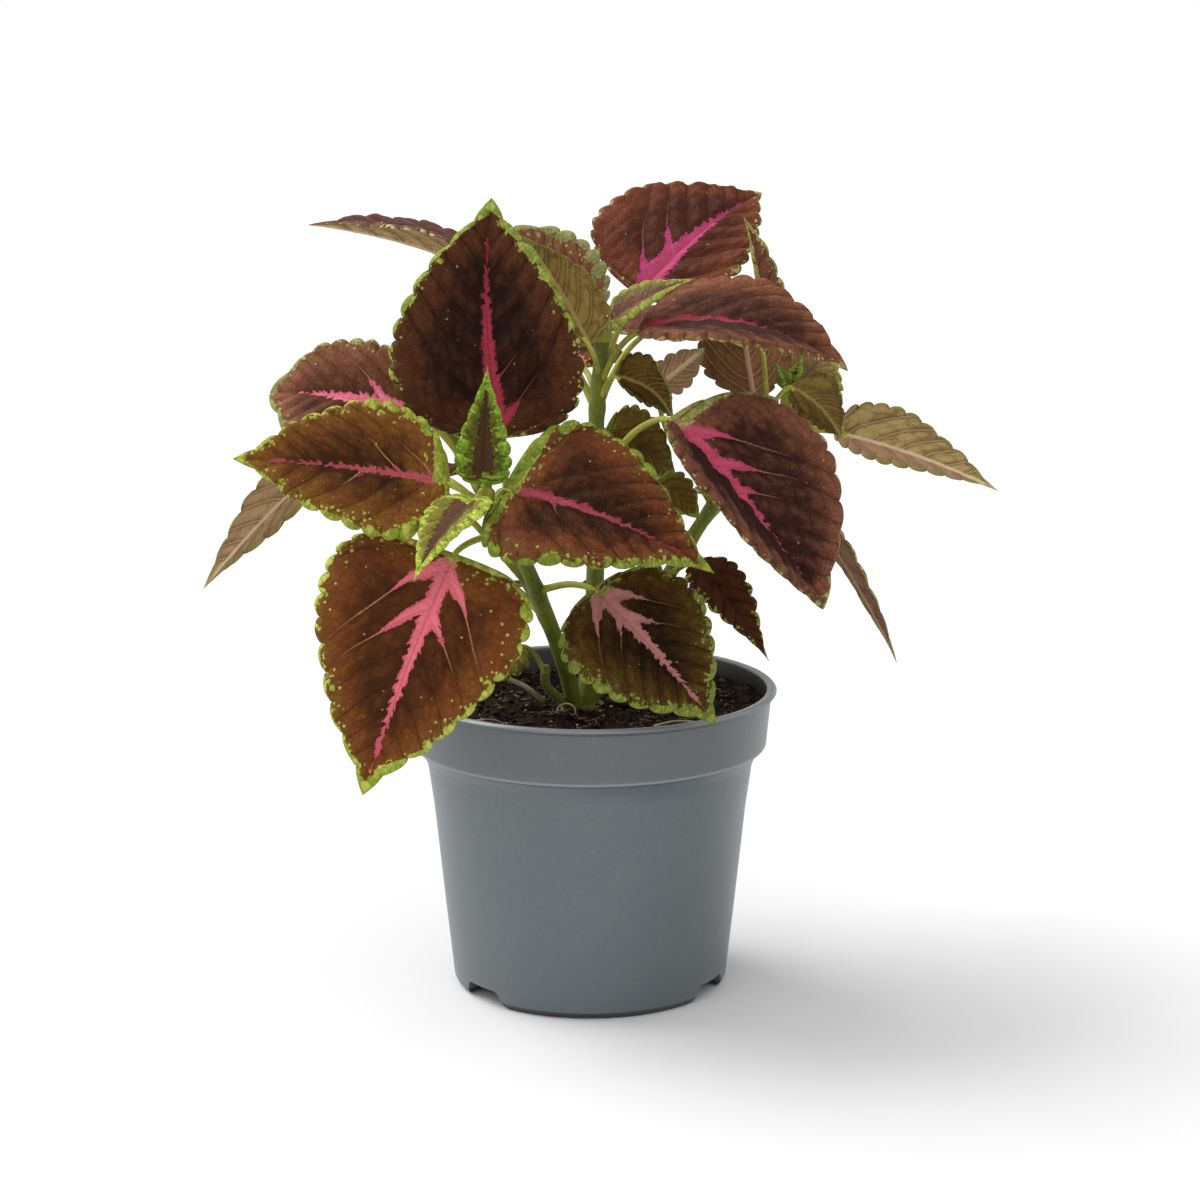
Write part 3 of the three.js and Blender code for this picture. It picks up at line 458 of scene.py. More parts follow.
leaves = {
    "left_upright": sprig([-24, -36, 153], [-27, -26, 181], [-30, -9, 253], [0.02, -1, 0.25], 58, 9, "dark",
        fold=[6, 6], halves=[1.08, 1], shape=[0.38, 0.92], arch=0.05, sway=-0.04, pillows=1,
        flame=[3.4, 0.84], branches=[[1, 1, 8, 4], [1, 2, 5, 2.5]], lime=[1, 0.7, 2.8, 3.4],
        limeSides=[1.2, 1], mottle=[5, 2]),
    "left_front": sprig([-24, -36, 153], [-40, -57, 151], [-67, -77, 82], [-0.1, -1, 0.35], 68, 9, "brown",
        fold=[4, 4], halves=[0.9, 1.04], shape=[0.26, 0.92], arch=0.08, pillows=0.7, flame=[3.2, 0.95],
        branches=[[1, 1, 15, 4.6], [1, 2, 12, 4], [-1, 1, 12, 4], [-1, 2, 8, 3.6]],
        lime=[2.4, 1.1, 1.2, 5], limeSides=[1.5, 1.1], mottle=[8, 5]),
    "left_side": sprig([-27, -39, 158], [-42, -45, 170], [-105, -60, 180], [0, -1, 0.85], 50, 9, "russet",
        fold=[4, 8], halves=[0.91, 1], arch=0.04, pillows=0.8, flame=[1.7, 0.9],
        branches=[[1, 1, 6, 1], [1, 2, 6, 1], [-1, 3, 4, 1.5]], lime=[8, 3, 1.2, 3], limeSides=[0.8, 1],
        mottle=[9, 5]),
    "left_right": sprig([-27, -39, 158], [-26, -50, 169], [37, -67, 147], [0.1, -0.85, 1], 55, 9, "umber",
        fold=[4, 10], halves=[1.28, 1.06], shape=[0.29, 1.12], arch=0.08, pillows=1.2, flame=[2.3, 0.84],
        branches=[[1, 2, 4, 2]], lime=[7, 3, 2, 4.4], limeSides=[1.3, 0.75], mottle=[9, 6]),
    "front_low": sprig([-16, -24, 133], [1, -41, 137], [38, -59, 99], [0.15, -1, 0.75], 49, 9, "dusty",
        fold=[4, 4], flame=[2.8, 0.92], lime=[2.6, 2.8, 3, 7], mottle=[6, 6],
        branches=[[-1, 1, 10, 4.5], [-1, 2, 7, 4], [1, 1, 11, 4], [1, 2, 6, 3]]),
    "left_low": sprig([-20, 22, 126], [-77, 0, 176], [-121, -16, 132], [-0.5, 0.55, 0.6], 32, 7, "tan",
        fold=[12, 12], arch=0.03, blush=[0.5, 0.5]),
    "left_back": sprig([-36, 29, 156], [-54, 24, 180], [-105, 34, 188], [-0.1, -0.85, 0.6], 45, 8, "faded",
        fold=[6, 6], shape=[0.5, 0.58], arch=0.09, curl=0.05, flame=[4, 0.8],
        branches=[[1, 2, 8, 3], [-1, 2, 6, 1.4]], lime=[1, 1.8, 2.8, 3.4], mottle=[5, 7]),
    "top_left": sprig([2, 5, 186], [-25, 26, 223], [-89, 14, 243], [0.2, 0.05, 1], 40, 7, "tan",
        fold=[20, 28], shape=[0.6, 1], arch=0.05, lime=[0.2, 0.2, 0.3, 0.5], mottle=[1, 1],
        blush=[0.3, 0.6]),
    "top_back": sprig([3, 5, 195], [15, 22, 220], [57, 63, 250], [-0.1, -0.85, 0.7], 68, 9, "burgundy",
        fold=[6, 10], halves=[0.93, 0.66], arch=0.08, pillows=1.15, flame=[4.6, 0.84],
        branches=[[-1, 1, 10, 3], [1, 1, 9, 3.6], [-1, 2, 9, 3.4]], lime=[0.3, 0.3, 0.3, 0.6]),
    "top_right": sprig([2, 5, 191], [15, -1, 211], [80, -12, 200], [0.1, -0.3, 1], 48, 8, "maroon",
        fold=[18, 12], halves=[1.14, 1], shape=[0.5, 0.8], arch=0.13, flame=[3, 0.82],
        lime=[0.5, 0.5, 0.6, 1.8], limeSides=[1, 0.6], mottle=[1.2, 2], dim=[0, 0.6]),
    "top_hidden": sprig([3, 6, 191], [1, 15, 212], [-24, 22, 242], [0.3, -1, 0.3], 32, 7, "faded",
        fold=[4, 4], shape=[0.5, 0.7], pillows=1.3, lime=[4, 4, 4, 4], limeSides=[1, 1.2], mottle=[8, 8]),
    "top_folded": sprig([3, 5, 196], [0, -4, 207], [-21, -4, 241], [0.6, 0.8, 0.3], 28, 7, "olive",
        fold=[16, 16], arch=0.04),
    "right_large": sprig([2, 5, 163], [24, -20, 186], [72, -31, 128.5], [0.4, -0.9, 0.4], 76, 9, "plum",
        fold=[2, 51], halves=[1, 0.8], shape=[0.48, 0.73], arch=0.05, pillows=1.1, flame=[4.4, 0.9],
        branches=[[-1, 1, 13, 4], [-1, 2, 11, 4], [-1, 3, 6, 3]], lime=[4.6, 0.7, 0.9, 2.4],
        limeSides=[1, 0.2], mottle=[1.2, 1.6], dim=[0, 0.55]),
    "right_curled": sprig([2, 5, 186], [8, 0, 197], [26, -12, 184], [0.3, 0.6, 0.7], 30, 6, "moss",
        fold=[14, 14], arch=0.16),
    "middle_back": sprig([2, 5, 168], [5, 20, 177], [28, 30, 160], [0.2, -0.8, 0.6], 28, 6, "moss",
        fold=[6, 6], arch=0.1, flame=[0.2, 0.3]),
    "right_small": sprig([16, 15, 116], [22, 8, 163], [35, 6, 150], [0.2, -0.8, 0.6], 15, 4, "moss",
        fold=[6, 6], arch=0.1, flame=[0.2, 0.3]),
    "right_low": sprig([17, 16, 118], [33, 6, 136], [57, -10, 107], [0.4, -0.8, 0.4], 34, 7, "dark",
        fold=[4, 4], halves=[0.72, 0.48], shape=[0.46, 1.45], flame=[-1, 0.3], lime=[1, 0.8, 0.6, 0.6],
        mottle=[0.5, 0.5]),
    "far_upright": sprig([58, 35, 175], [56, 31, 203], [49, 22, 245], [0.8, -0.6, 0], 19, 5, "plum",
        fold=[32, 32], arch=0.05, lime=[2.4, 1.8, 1.8, 2.4]),
    "far_wide": sprig([44, 28, 157], [54, 38, 183], [49, 54, 215], [-0.1, 0.8, 0.5], 33, 6, "plum",
        shape=[0.9, 0.8], arch=0.03, lime=[0, 0, 0, 0.3]),
    "far_right": sprig([56, 34, 172], [80, 38, 174], [133, 26, 156], [0.1, 0.75, 0.7], 38, 8, "tan",
        fold=[10, 10], halves=[0.6, 1], shape=[0.44, 1.2], arch=0.04, lime=[1, 2.2, 2, 1], blush=[1, 0]),
    "far_top": sprig([57, 35, 173], [67, 48, 184], [80, 66, 197], [0.1, -0.8, 0.6], 28, 6, "sage",
        fold=[6, 6], arch=0.08, lime=[1.6, 2, 2.6, 3], mottle=[6, 6]),
    "far_folded": sprig([53, 32, 167], [65, 27, 190], [81, 20, 174], [0.6, 0.7, 0.5], 28, 6, "olive",
        fold=[14, 14], arch=0.12, lime=[0.2, 0.1, 0.1, 0.6]),
    "far_down": sprig([52, 32, 166], [66, 36, 156], [101, 24, 99], [0.75, 0.3, 0.5], 24, 7, "burgundy",
        fold=[12, 12], arch=0.03),
    "right_pale": sprig([40, 26, 151], [22, 28, 190], [37, 24, 203], [0.2, 0.9, -0.3], 14, 4, "tan",
        arch=0.05, blush=[1, 1]),
    "low": sprig([-14, -15, 105], [-21, -17, 114], [-46, -30, 100], [-0.2, -0.7, 0.8], 22, 5, "moss",
        arch=0.1, flame=[0.2, 0.3], lime=[0.3, 0.3, 0.3, 0.5], mottle=[9, 9]),
    "back_top": sprig([2, 5, 182], [-2, 30, 196], [-30, 80, 190], [-0.1, 0.5, 1], 46, 7, "brown",
        arch=0.14, flame=[2.6, 0.85], branches=[[1, 2, 7, 1.4], [-1, 2, 7, 1.4]]),
    "back_top_right": sprig([3, 5, 188], [17, 34, 206], [52, 86, 203], [0, 0.35, 1], 42, 7, "burgundy",
        arch=0.12, flame=[2.2, 0.85], branches=[[1, 1, 6, 1.3], [-1, 1, 7, 1.3]]),
    "back_left": sprig([-42, 31, 166], [-46, 48, 179], [-46, 94, 172], [0, 0.4, 1], 42, 7, "brown",
        arch=0.12, flame=[1.6, 0.85]),
    "back_right": sprig([47, 29, 160], [60, 52, 168], [50, 100, 156], [0, 0.4, 1], 40, 7, "plum",
        arch=0.12, flame=[2.4, 0.8], branches=[[1, 1, 6, 1.3], [-1, 2, 6, 1.2]]),
    "back_far": sprig([54, 33, 169], [77, 58, 172], [100, 96, 158], [0.2, 0.4, 1], 34, 6, "burgundy",
        arch=0.12, flame=[1.6, 0.8]),
    "back_middle": sprig([2, 5, 150], [3, 28, 159], [11, 82, 131], [0, 0.5, 0.8], 46, 7, "dark",
        arch=0.12, flame=[2.8, 0.88], branches=[[1, 1, 8, 1.5], [-1, 1, 8, 1.5], [1, 3, 5, 1.2]]),
    "back_left_low": sprig([-28, 26, 141], [-48, 42, 158], [-72, 84, 138], [-0.2, 0.4, 1], 42, 7, "brown",
        arch=0.14, flame=[2.4, 0.85], branches=[[1, 2, 6, 1.3]]),
    "back_right_low": sprig([32, 22, 139], [48, 46, 150], [66, 90, 124], [0.2, 0.5, 0.8], 42, 7, "burgundy",
        arch=0.14, flame=[2.2, 0.85], branches=[[-1, 1, 7, 1.4]]),
    "back_low": sprig([1, 4, 115], [7, 26, 122], [25, 62, 106], [0.1, 0.4, 1], 34, 6, "dark",
        arch=0.14, flame=[1.8, 0.8]),
    "back_bottom": sprig([-15, 18, 116], [-29, 34, 122], [-56, 72, 94], [-0.2, 0.5, 0.8], 40, 7, "brown",
        arch=0.14, flame=[2.6, 0.86], branches=[[1, 1, 7, 1.4], [-1, 1, 7, 1.4]]),
}


def bySide(x, pair):  # one value left of the midrib and one right of it
    return np.where(x < 0, pair[0], pair[1])


def outline(leaf, s):
    baseRound, tipSharp = leaf["shape"]
    peak = baseRound / (baseRound + tipSharp)
    return s ** baseRound * (1 - s) ** tipSharp / (peak ** baseRound * (1 - peak) ** tipSharp)


def surfaceAt(leaf, s, x):
    # The blade's middle surface: s runs from base to tip, x is the way out from the midrib.
    base = np.array(leaf["base"], dtype=float)
    along = np.array(leaf["tip"]) - base
    length = np.linalg.norm(along)
    along = along / length
    up = np.array(leaf["face"], dtype=float)
    up = unit(up - along * up.dot(along))
    side = np.cross(along, up)
    lift = np.radians(bySide(x, leaf["fold"]))
    half = leaf["width"] / 2 * np.maximum(outline(leaf, np.clip(s, 0, 1)), 0.05)
    ripple = blade["ripple"] * leaf["width"] * (x / half) ** 2 * np.sin(np.pi * np.minimum(s, 1))
    rise = np.abs(x) * np.sin(lift) - blade["droop"] * x * x / leaf["width"]
    rise = rise + ripple * np.sin(15 * s + bySide(x, (0, 2)))
    bow = length * (leaf["arch"] * 4 * s * (1 - s) - leaf["curl"] * s ** 4)
    sideways = x * np.cos(lift) + leaf["sway"] * length * 4 * s * (1 - s)
    return (base + np.multiply.outer(s * length, along) + np.multiply.outer(sideways, side)
            + np.multiply.outer(rise + bow, up))


def scatter(i, j, seed):
    # A repeatable draw from 0 to 1 for each whole-numbered place.
    value = np.sin(i * 127.1 + j * 311.7 + seed * 74.7) * 43758.5453
    return value - np.floor(value)


def cellEdges(a, b, seed):
    # How far in places lie from the edges of an uneven mosaic, whose cells are about one unit wide.
    nearest, second = np.full(a.shape, 9.0), np.full(a.shape, 9.0)
    for stepA in (-1, 0, 1):
        for stepB in (-1, 0, 1):
            i, j = np.floor(a) + stepA, np.floor(b) + stepB
            awayA = i + 0.1 + 0.8 * scatter(i, j, seed) - a
            awayB = j + 0.1 + 0.8 * scatter(j, i, seed + 1) - b
            away = np.hypot(awayA, awayB)
            second = np.minimum(second, np.maximum(away, nearest))
            nearest = np.minimum(nearest, away)
    return second - nearest


def spikes(place, pitch, seed):
    # Tongues of uneven size, each running out to a point.
    cell = np.floor(place / pitch)
    return (0.35 + 0.65 * scatter(cell, cell * 0, seed)) * (1 - (place / pitch - cell))


def veinMap(leaf, y, x, seed):
    # lane counts the strips between side veins, and is a whole number on each vein.
    length = math.dist(leaf["base"], leaf["tip"])
    out = np.abs(x)
    count = blade["veins"] if leaf["width"] > blade["slenderWidth"] else blade["fewVeins"]
    basal, first, closing = blade["veinAngles"]
    shares = [1 - (1 - k / count) ** 1.25 for k in range(count)]
    starts = [0.0] + [blade["veinStart"] + blade["veinSpan"] * share for share in shares]
    angles = [basal] + [first - closing * k / count for k in range(count)]
    offset = bySide(x, (0.012, -0.012)) * length
    gaps, offsets = [], []
    for k, (start, angle) in enumerate(zip(starts, angles)):
        slope = 1 / math.tan(math.radians(angle))
        bend = 1.7 if k else 0.6
        wander = 0.9 * np.sin(0.15 * out + 2.4 * k + seed + (x < 0))
        wander = (wander + 0.35 * np.sin(0.5 * out + 2.3 * k + 2 * seed)) * np.minimum(1, out / 5)
        vein = start * length + offset * (k > 0) + slope * out + bend * out ** 2 / leaf["width"] + wander
        gaps.append(y - vein)
        offsets.append((y - vein) / np.sqrt(1 + (slope + 2 * bend * out / leaf["width"]) ** 2))
    gaps, offsets = np.array(gaps), np.array(offsets)
    below = np.where(gaps >= 0, gaps, 999).min(axis=0)
    above = np.where(gaps < 0, -gaps, 999).min(axis=0)
    share = below / (below + above)
    share = np.where(above > 900, np.minimum(below / 14, 0.5), share)
    share = np.where(below > 900, 1 - np.minimum(above / 14, 0.5), share)
    before = np.where(offsets >= 0, offsets, 99).min(axis=0)
    after = np.where(offsets < 0, -offsets, 99).min(axis=0)
    return (gaps >= 0).sum(axis=0) + share, np.minimum(before + after, 9), offsets


def flameField(leaf, y, x, offsets, seed):
    # How far inside the pink flame a place lies, in mm, and how pale its veins are.
    thick, reach = leaf["flame"]
    out = np.abs(x)
    share = y / (math.dist(leaf["base"], leaf["tip"]) * reach)
    body = thick * np.minimum(0.55 + 3 * share, 1) * np.maximum(1 - share, 0) ** 0.85
    tongues = spikes(y - 0.8 * out + bySide(x, (0.9, 0)), 2.3, seed) * (0.2 + 0.35 * body)
    flame = np.where(share < 1, body - 0.1 * thick + tongues - out, -3.0 * share)
    pale = np.zeros_like(out)
    for way, number, far, broad in leaf["branches"]:
        on = x * way > 0
        wide = broad * np.maximum(1 - out / far, 0) ** 0.8
        tongue = np.minimum(offsets[number] + wide, 0.4 * wide - offsets[number])
        flame = np.maximum(flame, np.where(on & (out < far), tongue, -3))
        near = np.abs(offsets[number]) < 1.5
        pale = np.maximum(pale, np.where(on & near, np.clip(1.9 - out / far, 0, 1), 0))
    basal = np.where(np.abs(offsets[0]) < 1.5, np.clip(1.5 - out / (0.24 * leaf["width"]), 0, 1), 0)
    return flame, np.maximum(pale, 0.8 * basal)


def slabFaces(rows, wide):
    # Faces of two sheets of points, one above the other, and of the rim that joins them.
    count = rows * wide
    sheets = []
    for i in range(rows - 1):
        for j in range(wide - 1):
            a = i * wide + j
            sheets.append([a, a + 1, a + wide + 1, a + wide])
            sheets.append([count + a, count + a + wide, count + a + wide + 1, count + a + 1])
    rim = list(range(wide)) + [i * wide + wide - 1 for i in range(1, rows)]
    rim += [(rows - 1) * wide + j for j in range(wide - 2, -1, -1)]
    rim += [i * wide for i in range(rows - 2, 0, -1)]
    return sheets, [[b, a, count + a, count + b] for a, b in zip(rim, rim[1:] + rim[:1])]


def bladeParts(leaf, heap, seed, slots):
    width, teeth = leaf["width"], round(leaf["teeth"] * blade["teethMore"])
    length = math.dist(leaf["base"], leaf["tip"])
    steps = blade["toothSteps"] if width > blade["smallWidth"] else blade["smallToothSteps"]
    # u counts the teeth along the margin, s is the place along the blade that each row has
    u = ((np.arange(teeth)[:, None] + np.array(steps)) / teeth).ravel()
    u = np.concatenate([[0.003], u[1:], [0.9985]])
    perMm, fewest, most = blade["columns"]
    spread = np.linspace(-1, 1, 2 * int(np.clip(width * perMm, fewest, most)) + 1)
    spread = np.sign(spread) * np.abs(spread) ** 1.05
    s = (u ** 1.5 * (1.35 - 0.35 * u))[:, None] * np.ones(len(spread))
    half = width / 2 * outline(leaf, s) * bySide(spread, leaf["halves"])
    half = half * (1 - blade["tipPinch"] * np.clip((s - 0.72) / 0.2, 0, 1) ** 2)
    tooth = (u * teeth + 1e-6) % 1
    bump = np.abs(np.sin(np.pi * tooth ** blade["toothLean"]))[:, None] ** 0.55
    depth = leaf["toothDepth"] * np.minimum(1, half / 9) * (1 - bump)
    margin = np.clip((np.abs(spread) - 0.7) / 0.3, 0, 1) ** 1.3
    way = bySide(spread, (-1, 1))
    x, y = spread * half - way * depth * margin, s * length
    lane, strip, offsets = veinMap(leaf, y, x, seed)
    flame, pale = flameField(leaf, y, x, offsets, seed)
    rib = np.abs(x)
    edge = np.minimum(half - depth - rib, y + 0.3)
    toothSize = 0.5 + scatter(np.floor(u * teeth)[:, None], way, seed)
    lime = np.interp(s, [0, 0.3, 0.75, 1], leaf["lime"]) * bySide(x, leaf["limeSides"])
    lime = lime * toothSize * (0.3 + 0.85 * bump) - edge
    mottle = np.maximum(1 - edge / np.interp(s, [0, 1], leaf["mottle"]), -1)

    # swells between the veins, and small domes along the margin
    swell = np.sin(np.pi * (lane % 1)) ** 0.75
    patch = np.clip(cellEdges(1.9 * lane, rib / blade["cellSize"] + 0.3 * lane, seed) / 0.45, 0, 1)
    size, calm = leaf["pillows"] * min(1, width / 50), np.minimum(1, rib / 3) * np.clip(edge / 2.5, 0, 1)
    lift = size * (blade["pillowHeight"] * swell + blade["cellHeight"] * patch * (0.4 + 0.6 * swell)) * calm
    domes = 0.5 * bump * np.clip(edge / 1.2, 0, 1) * np.clip(2 - edge / 2.5, 0, 1)
    lift = lift + (domes - 0.5 * margin ** 3) * np.minimum(1, half / 12)
    # pillowShade is painted light and shade: low in the creases between the swells and on a half in shade,
    # high on the swells and the margin's domes
    pillowShade = 1 - min(1, leaf["pillows"]) * (1 - (0.25 + 0.75 * swell) * (0.35 + 0.65 * patch))
    pillowShade = np.where(edge < 2.2, pillowShade * edge / 2.2 + bump * (1 - edge / 2.2), pillowShade)
    pillowShade = pillowShade - bySide(x, leaf["dim"])

    fore = surfaceAt(leaf, np.minimum(s + 0.02, 1), x) - surfaceAt(leaf, np.maximum(s - 0.02, 0), x)
    normal = np.cross(surfaceAt(leaf, s, x + 0.5) - surfaceAt(leaf, s, x - 0.5), fore)
    normal /= np.linalg.norm(normal, axis=2, keepdims=True)
    thick = blade["thickness"] / 2 * (1 - 0.4 * margin)
    groove = -0.25 * np.exp(-(x / 0.6) ** 2)
    ridge = blade["ribHeight"] * min(1, width / 40) * (1 - s) ** 0.7 * np.exp(-(x / 0.8) ** 2)
    ridge = ridge + 0.16 * np.exp(-(np.abs(offsets).min(axis=0) / 0.35) ** 2)
    middle = surfaceAt(leaf, s, x)
    top = middle + normal * (thick + lift + groove)[..., None]
    under = middle + normal * (-thick + 0.9 * lift - ridge)[..., None]
    sheets, rim = slabFaces(len(u), len(spread))
    values = dict(zip(leafFields, (flame, lime, rib, pillowShade, s, lane, strip, pale, mottle)))
    fields = {label: np.concatenate([value.ravel()] * 2) for label, value in values.items()}
    fields["pale"][s.size:] = bySide(x, leaf["blush"]).ravel()
    points = np.concatenate([top.reshape(-1, 3), under.reshape(-1, 3)])
    heap.put(points, sheets + rim, list(slots) * (len(sheets) // 2) + [slots[0]] * len(rim), fields)


def stalkParts(leaf, heap, thick, slot):
    base = np.array(leaf["base"], dtype=float)
    start = np.array(leaf["from"], dtype=float)
    along = unit(np.array(leaf["tip"]) - base)
    bend = base - along * 0.35 * np.linalg.norm(base - start)
    bend = bend + (start + (base - start) * 0.6 - bend) * 0.75
    up = unit(np.array(leaf["face"]) - along * along.dot(leaf["face"]))
    root, grip = (surfaceAt(leaf, np.array([s]), np.array([0.0]))[0] for s in (0.0, 0.08))
    places, ways = throughPoints([start, bend, root - 0.4 * up, grip - 1.1 * up], stalk["steps"])
    share = np.linspace(0, 1, len(places))
    radii = thick * (1 - 0.3 * share) * (1 + 0.5 * np.exp(-(share / 0.06) ** 2))
    sides = stalk["sides"]
    points, faces = tube(places, ways, radii, sides, lambda turn, part: 1 + 0.05 * math.cos(3 * turn))
    heap.put(points, faces, slot, {"along": np.repeat(share, sides)})


def buildLeaf(name, leaf, seed):
    heap = Heap()
    bladeParts(leaf, heap, seed, (0, 1))
    stalkParts(leaf, heap, stalk["thick"] if leaf["width"] > stalk["thinWidth"] else stalk["thin"], 2)
    settle(heap.finish(name + "_fine", [*leafFinishes[leaf["look"]], stalkGreen]), "leaf", name)


for number, (name, leaf) in enumerate(leaves.items()):
    buildLeaf("leaf_" + name, leaf, number * 1.7)
print("leaves ready:", len(leaves))


# Growing tips

tips = {  # young leaves have base, tip, face, width, teeth and look
    "tip_left": {
        "top": [-31, -43, 165], "radius": 2.9, "young": [
            ([-32, -45, 170], [-30, -53, 207], [0, -1, 0.2], 18, 6, "green"),
            ([-34, -53, 167], [-51, -80, 147], [-0.4, -0.6, 1], 22, 7, "fresh"),
        ],
    },
    "tip_middle": {
        "top": [4, 5, 208], "radius": 3.4, "young": [
            ([6, 3, 213], [33, -6, 228], [-0.2, -0.6, 1], 19, 6, "sage"),
            ([3, 5, 213], [-3, 0, 219], [0, -0.5, 1], 7, 3, "sage"),
        ],
    },
    "tip_right": {
        "top": [65, 38, 183], "radius": 2.8, "young": [
            ([66, 40, 188], [70, 46, 197], [-0.2, -0.4, 1], 7, 3, "green"),
            ([64, 37, 188], [60, 34, 197], [0.2, 0.4, 1], 6, 3, "green"),
        ],
    },
    "tip_back": {
        "top": [-50, 36, 180], "radius": 2.6, "young": [
            ([-50, 39, 183], [-54, 53, 194], [0, 0, 1], 10, 3, "green"),
            ([-49, 38, 183], [-41, 45, 195], [0.4, 0, 1], 9, 3, "green"),
        ],
    },
}
youngLeaf = {
    "fold": [16, 16], "shape": [0.36, 1.3], "toothDepth": 1.3, "pillows": 1.3,
    "lime": [3.2, 2.8, 2.2, 2.4], "mottle": [3, 2.4],
}
bud = {"rise": 4.6, "swell": [0.85, 0.95, 1, 1, 0.95, 0.85, 0.65, 0.4, 0.12], "leaves": 4}


def buildTip(name, tip, seed):
    heap = Heap()
    top = np.array(tip["top"], dtype=float)
    usual = tip["young"][0][-1]
    finishes = [*leafFinishes[usual], stalkGreen]
    for young in tip["young"]:
        leaf = sprig(top + [0, 0, 2.4], *young, flame=[young[3] * 0.24, 0.9], **youngLeaf)
        slots = (0, 1)
        if leaf["look"] != usual:
            slots = (len(finishes), len(finishes) + 1)
            finishes += leafFinishes[leaf["look"]]
        bladeParts(leaf, heap, seed, slots)
        stalkParts(leaf, heap, stalk["thin"], 2)
    places, ways = throughPoints([top - [0, 0, 1], top + [0, 0, 2], top + [0, 0, bud["rise"]]], 8)
    heap.put(*tube(places, ways, tip["radius"] * np.array(bud["swell"]), 12), 2)
    for k in range(bud["leaves"]):  # folded around the bud
        turn = seed + 2 * math.pi * k / bud["leaves"]
        lean = np.array([math.cos(turn), math.sin(turn), 0])
        base, point = top + lean * 1.2 + [0, 0, 2], top + lean * 1.6 + [0, 0, 7]
        leaf = sprig(top, base, point, -lean, 3.6, 2, usual, fold=[24, 24], flame=[0.4, 0.9])
        bladeParts(leaf, heap, seed + k, (0, 1))
    settle(heap.finish(name + "_fine", finishes), "young_leaf", name)


for number, (name, tip) in enumerate(tips.items()):
    buildTip(name, tip, 0.8 + number)
print("growing tips ready")


# Stems

stems = {  # nodes are the heights where leaves leave
    "middle": {
        "points": [[-1, 1, 70], [-1, 1.5, 91], [1, 4, 115], [2, 5, 150], [2, 5, 180], [4, 5, 208]],
        "radius": [3.3, 2.2], "nodes": [115, 150, 165, 186, 194],
    },
    "left": {
        "points": [[-3, 0, 70], [-5, -2.5, 91], [-10, -14, 113], [-24, -36, 153], [-31, -43, 165]],
        "radius": [2.9, 2], "nodes": [133, 153, 158],
    },
    "right": {
        "points": [[0, 1, 70], [0, 3, 91], [13, 13, 111], [24, 19, 127], [40, 26, 151], [65, 38, 183]],
        "radius": [2.9, 1.9], "nodes": [117, 139, 151, 167, 175],
    },
    "back": {
        "points": [[-4, 2, 70], [-5, 4, 91], [-12, 15, 110], [-20, 22, 126], [-36, 29, 156], [-50, 36, 180]],
        "radius": [2.5, 1.7], "nodes": [116, 126, 141, 156, 166],
    },
    "low": {
        "points": [[-5, 0, 70], [-7, -2, 90], [-11, -9, 96], [-14, -14, 101], [-14, -15, 107]],
        "radius": [1.6, 1.2], "nodes": [105],
    },
}
stemRings, nodeSwell = 90, 0.14
crown = {"radius": 7, "x": -2.5, "y": 1, "foot": 62, "top": 91, "rings": 12}
down = {"hairs": 303, "length": 0.55, "width": 0.05, "firstRing": 22}  # hairs on each stem


def buildStems():
    rng = np.random.default_rng(5)
    heap, hairs = Heap(), Heap()
    for stem in stems.values():
        places, ways = throughPoints(stem["points"], stemRings)
        thick, thin = stem["radius"]
        radii = thick + (thin - thick) * np.linspace(0, 1, len(places))
        for level in stem["nodes"]:
            radii = radii * (1 + nodeSwell * np.exp(-((places[:, 2] - level) / 2.2) ** 2))
        heap.put(*tube(places, ways, radii, 24, lambda turn, part: 1 + 0.045 * math.cos(4 * turn)), 0)
        for _ in range(down["hairs"]):
            i = rng.integers(down["firstRing"], len(places) - 1)
            way = unit(ways[i])
            out = rng.normal(size=3)
            out = unit(out - way * out.dot(way))
            root = places[i] + out * radii[i] * 0.98 + way * rng.uniform(-0.6, 0.6)
            point = root + (out + 0.3 * way * rng.normal()) * down["length"] * rng.uniform(0.6, 1.1)
            side, rise = unit(np.cross(out, way)) * down["width"], way * down["width"]
            corners = [root + side, root - 0.5 * side + rise, root - 0.5 * side - rise, point]
            hairs.put(corners, [[0, 2, 1], [0, 1, 3], [1, 2, 3], [2, 0, 3]], 0)
    rings = crown["rings"]
    levels = [[crown["x"], crown["y"], z] for z in np.linspace(crown["foot"], crown["top"], rings)]
    radii = crown["radius"] - np.linspace(1, 0, rings)
    heap.put(*tube(np.array(levels), np.tile([0.0, 0.0, 1.0], (rings, 1)), radii, 24), 0)
    settle(heap.finish("stems_fine", [stemGreen]), "stem", "stems")
    settle(hairs.finish("stem_down", [downFinish]), "stem")


buildStems()
print("stems ready")


# Pot

pot = {
    "height": 97.5, "lipRadius": 60, "lipHeight": 1.9,
    "bandTopRadius": 58.2, "bandFootRadius": 56.7, "bandHeight": 18.5,
    "bodyTopRadius": 52.2, "bodyMidRadius": 46.9, "bodyMidHeight": 26, "bendHeight": 59,
    "footRadius": 44.3, "footHeight": 5.4, "padRadius": 21.5, "wall": 1.3,
    "sides": 180, "round": 0.5,
    "notchAngles": [-50.5, 61, 185], "notchWidth": 14.5,
    "drainHoles": 6, "drainRadius": 3.4, "drainRing": 33,
}
potTints = {
    "base": "#4b5256", "cool": "#464e52", "pale": "#8a9093",
    "markAndShade": "#2c2b29", "dustAndShade": "#241d19", "contactShade": "#0c0a09",
}
lip, bandTop, bandFoot = pot["lipRadius"], pot["bandTopRadius"], pot["bandFootRadius"]
bodyTop, bodyMid, wall = pot["bodyTopRadius"], pot["bodyMidRadius"], pot["wall"]
footRadius, pad = pot["footRadius"], pot["padRadius"]
brim, footHeight, midHeight = pot["height"], pot["footHeight"], pot["bodyMidHeight"]
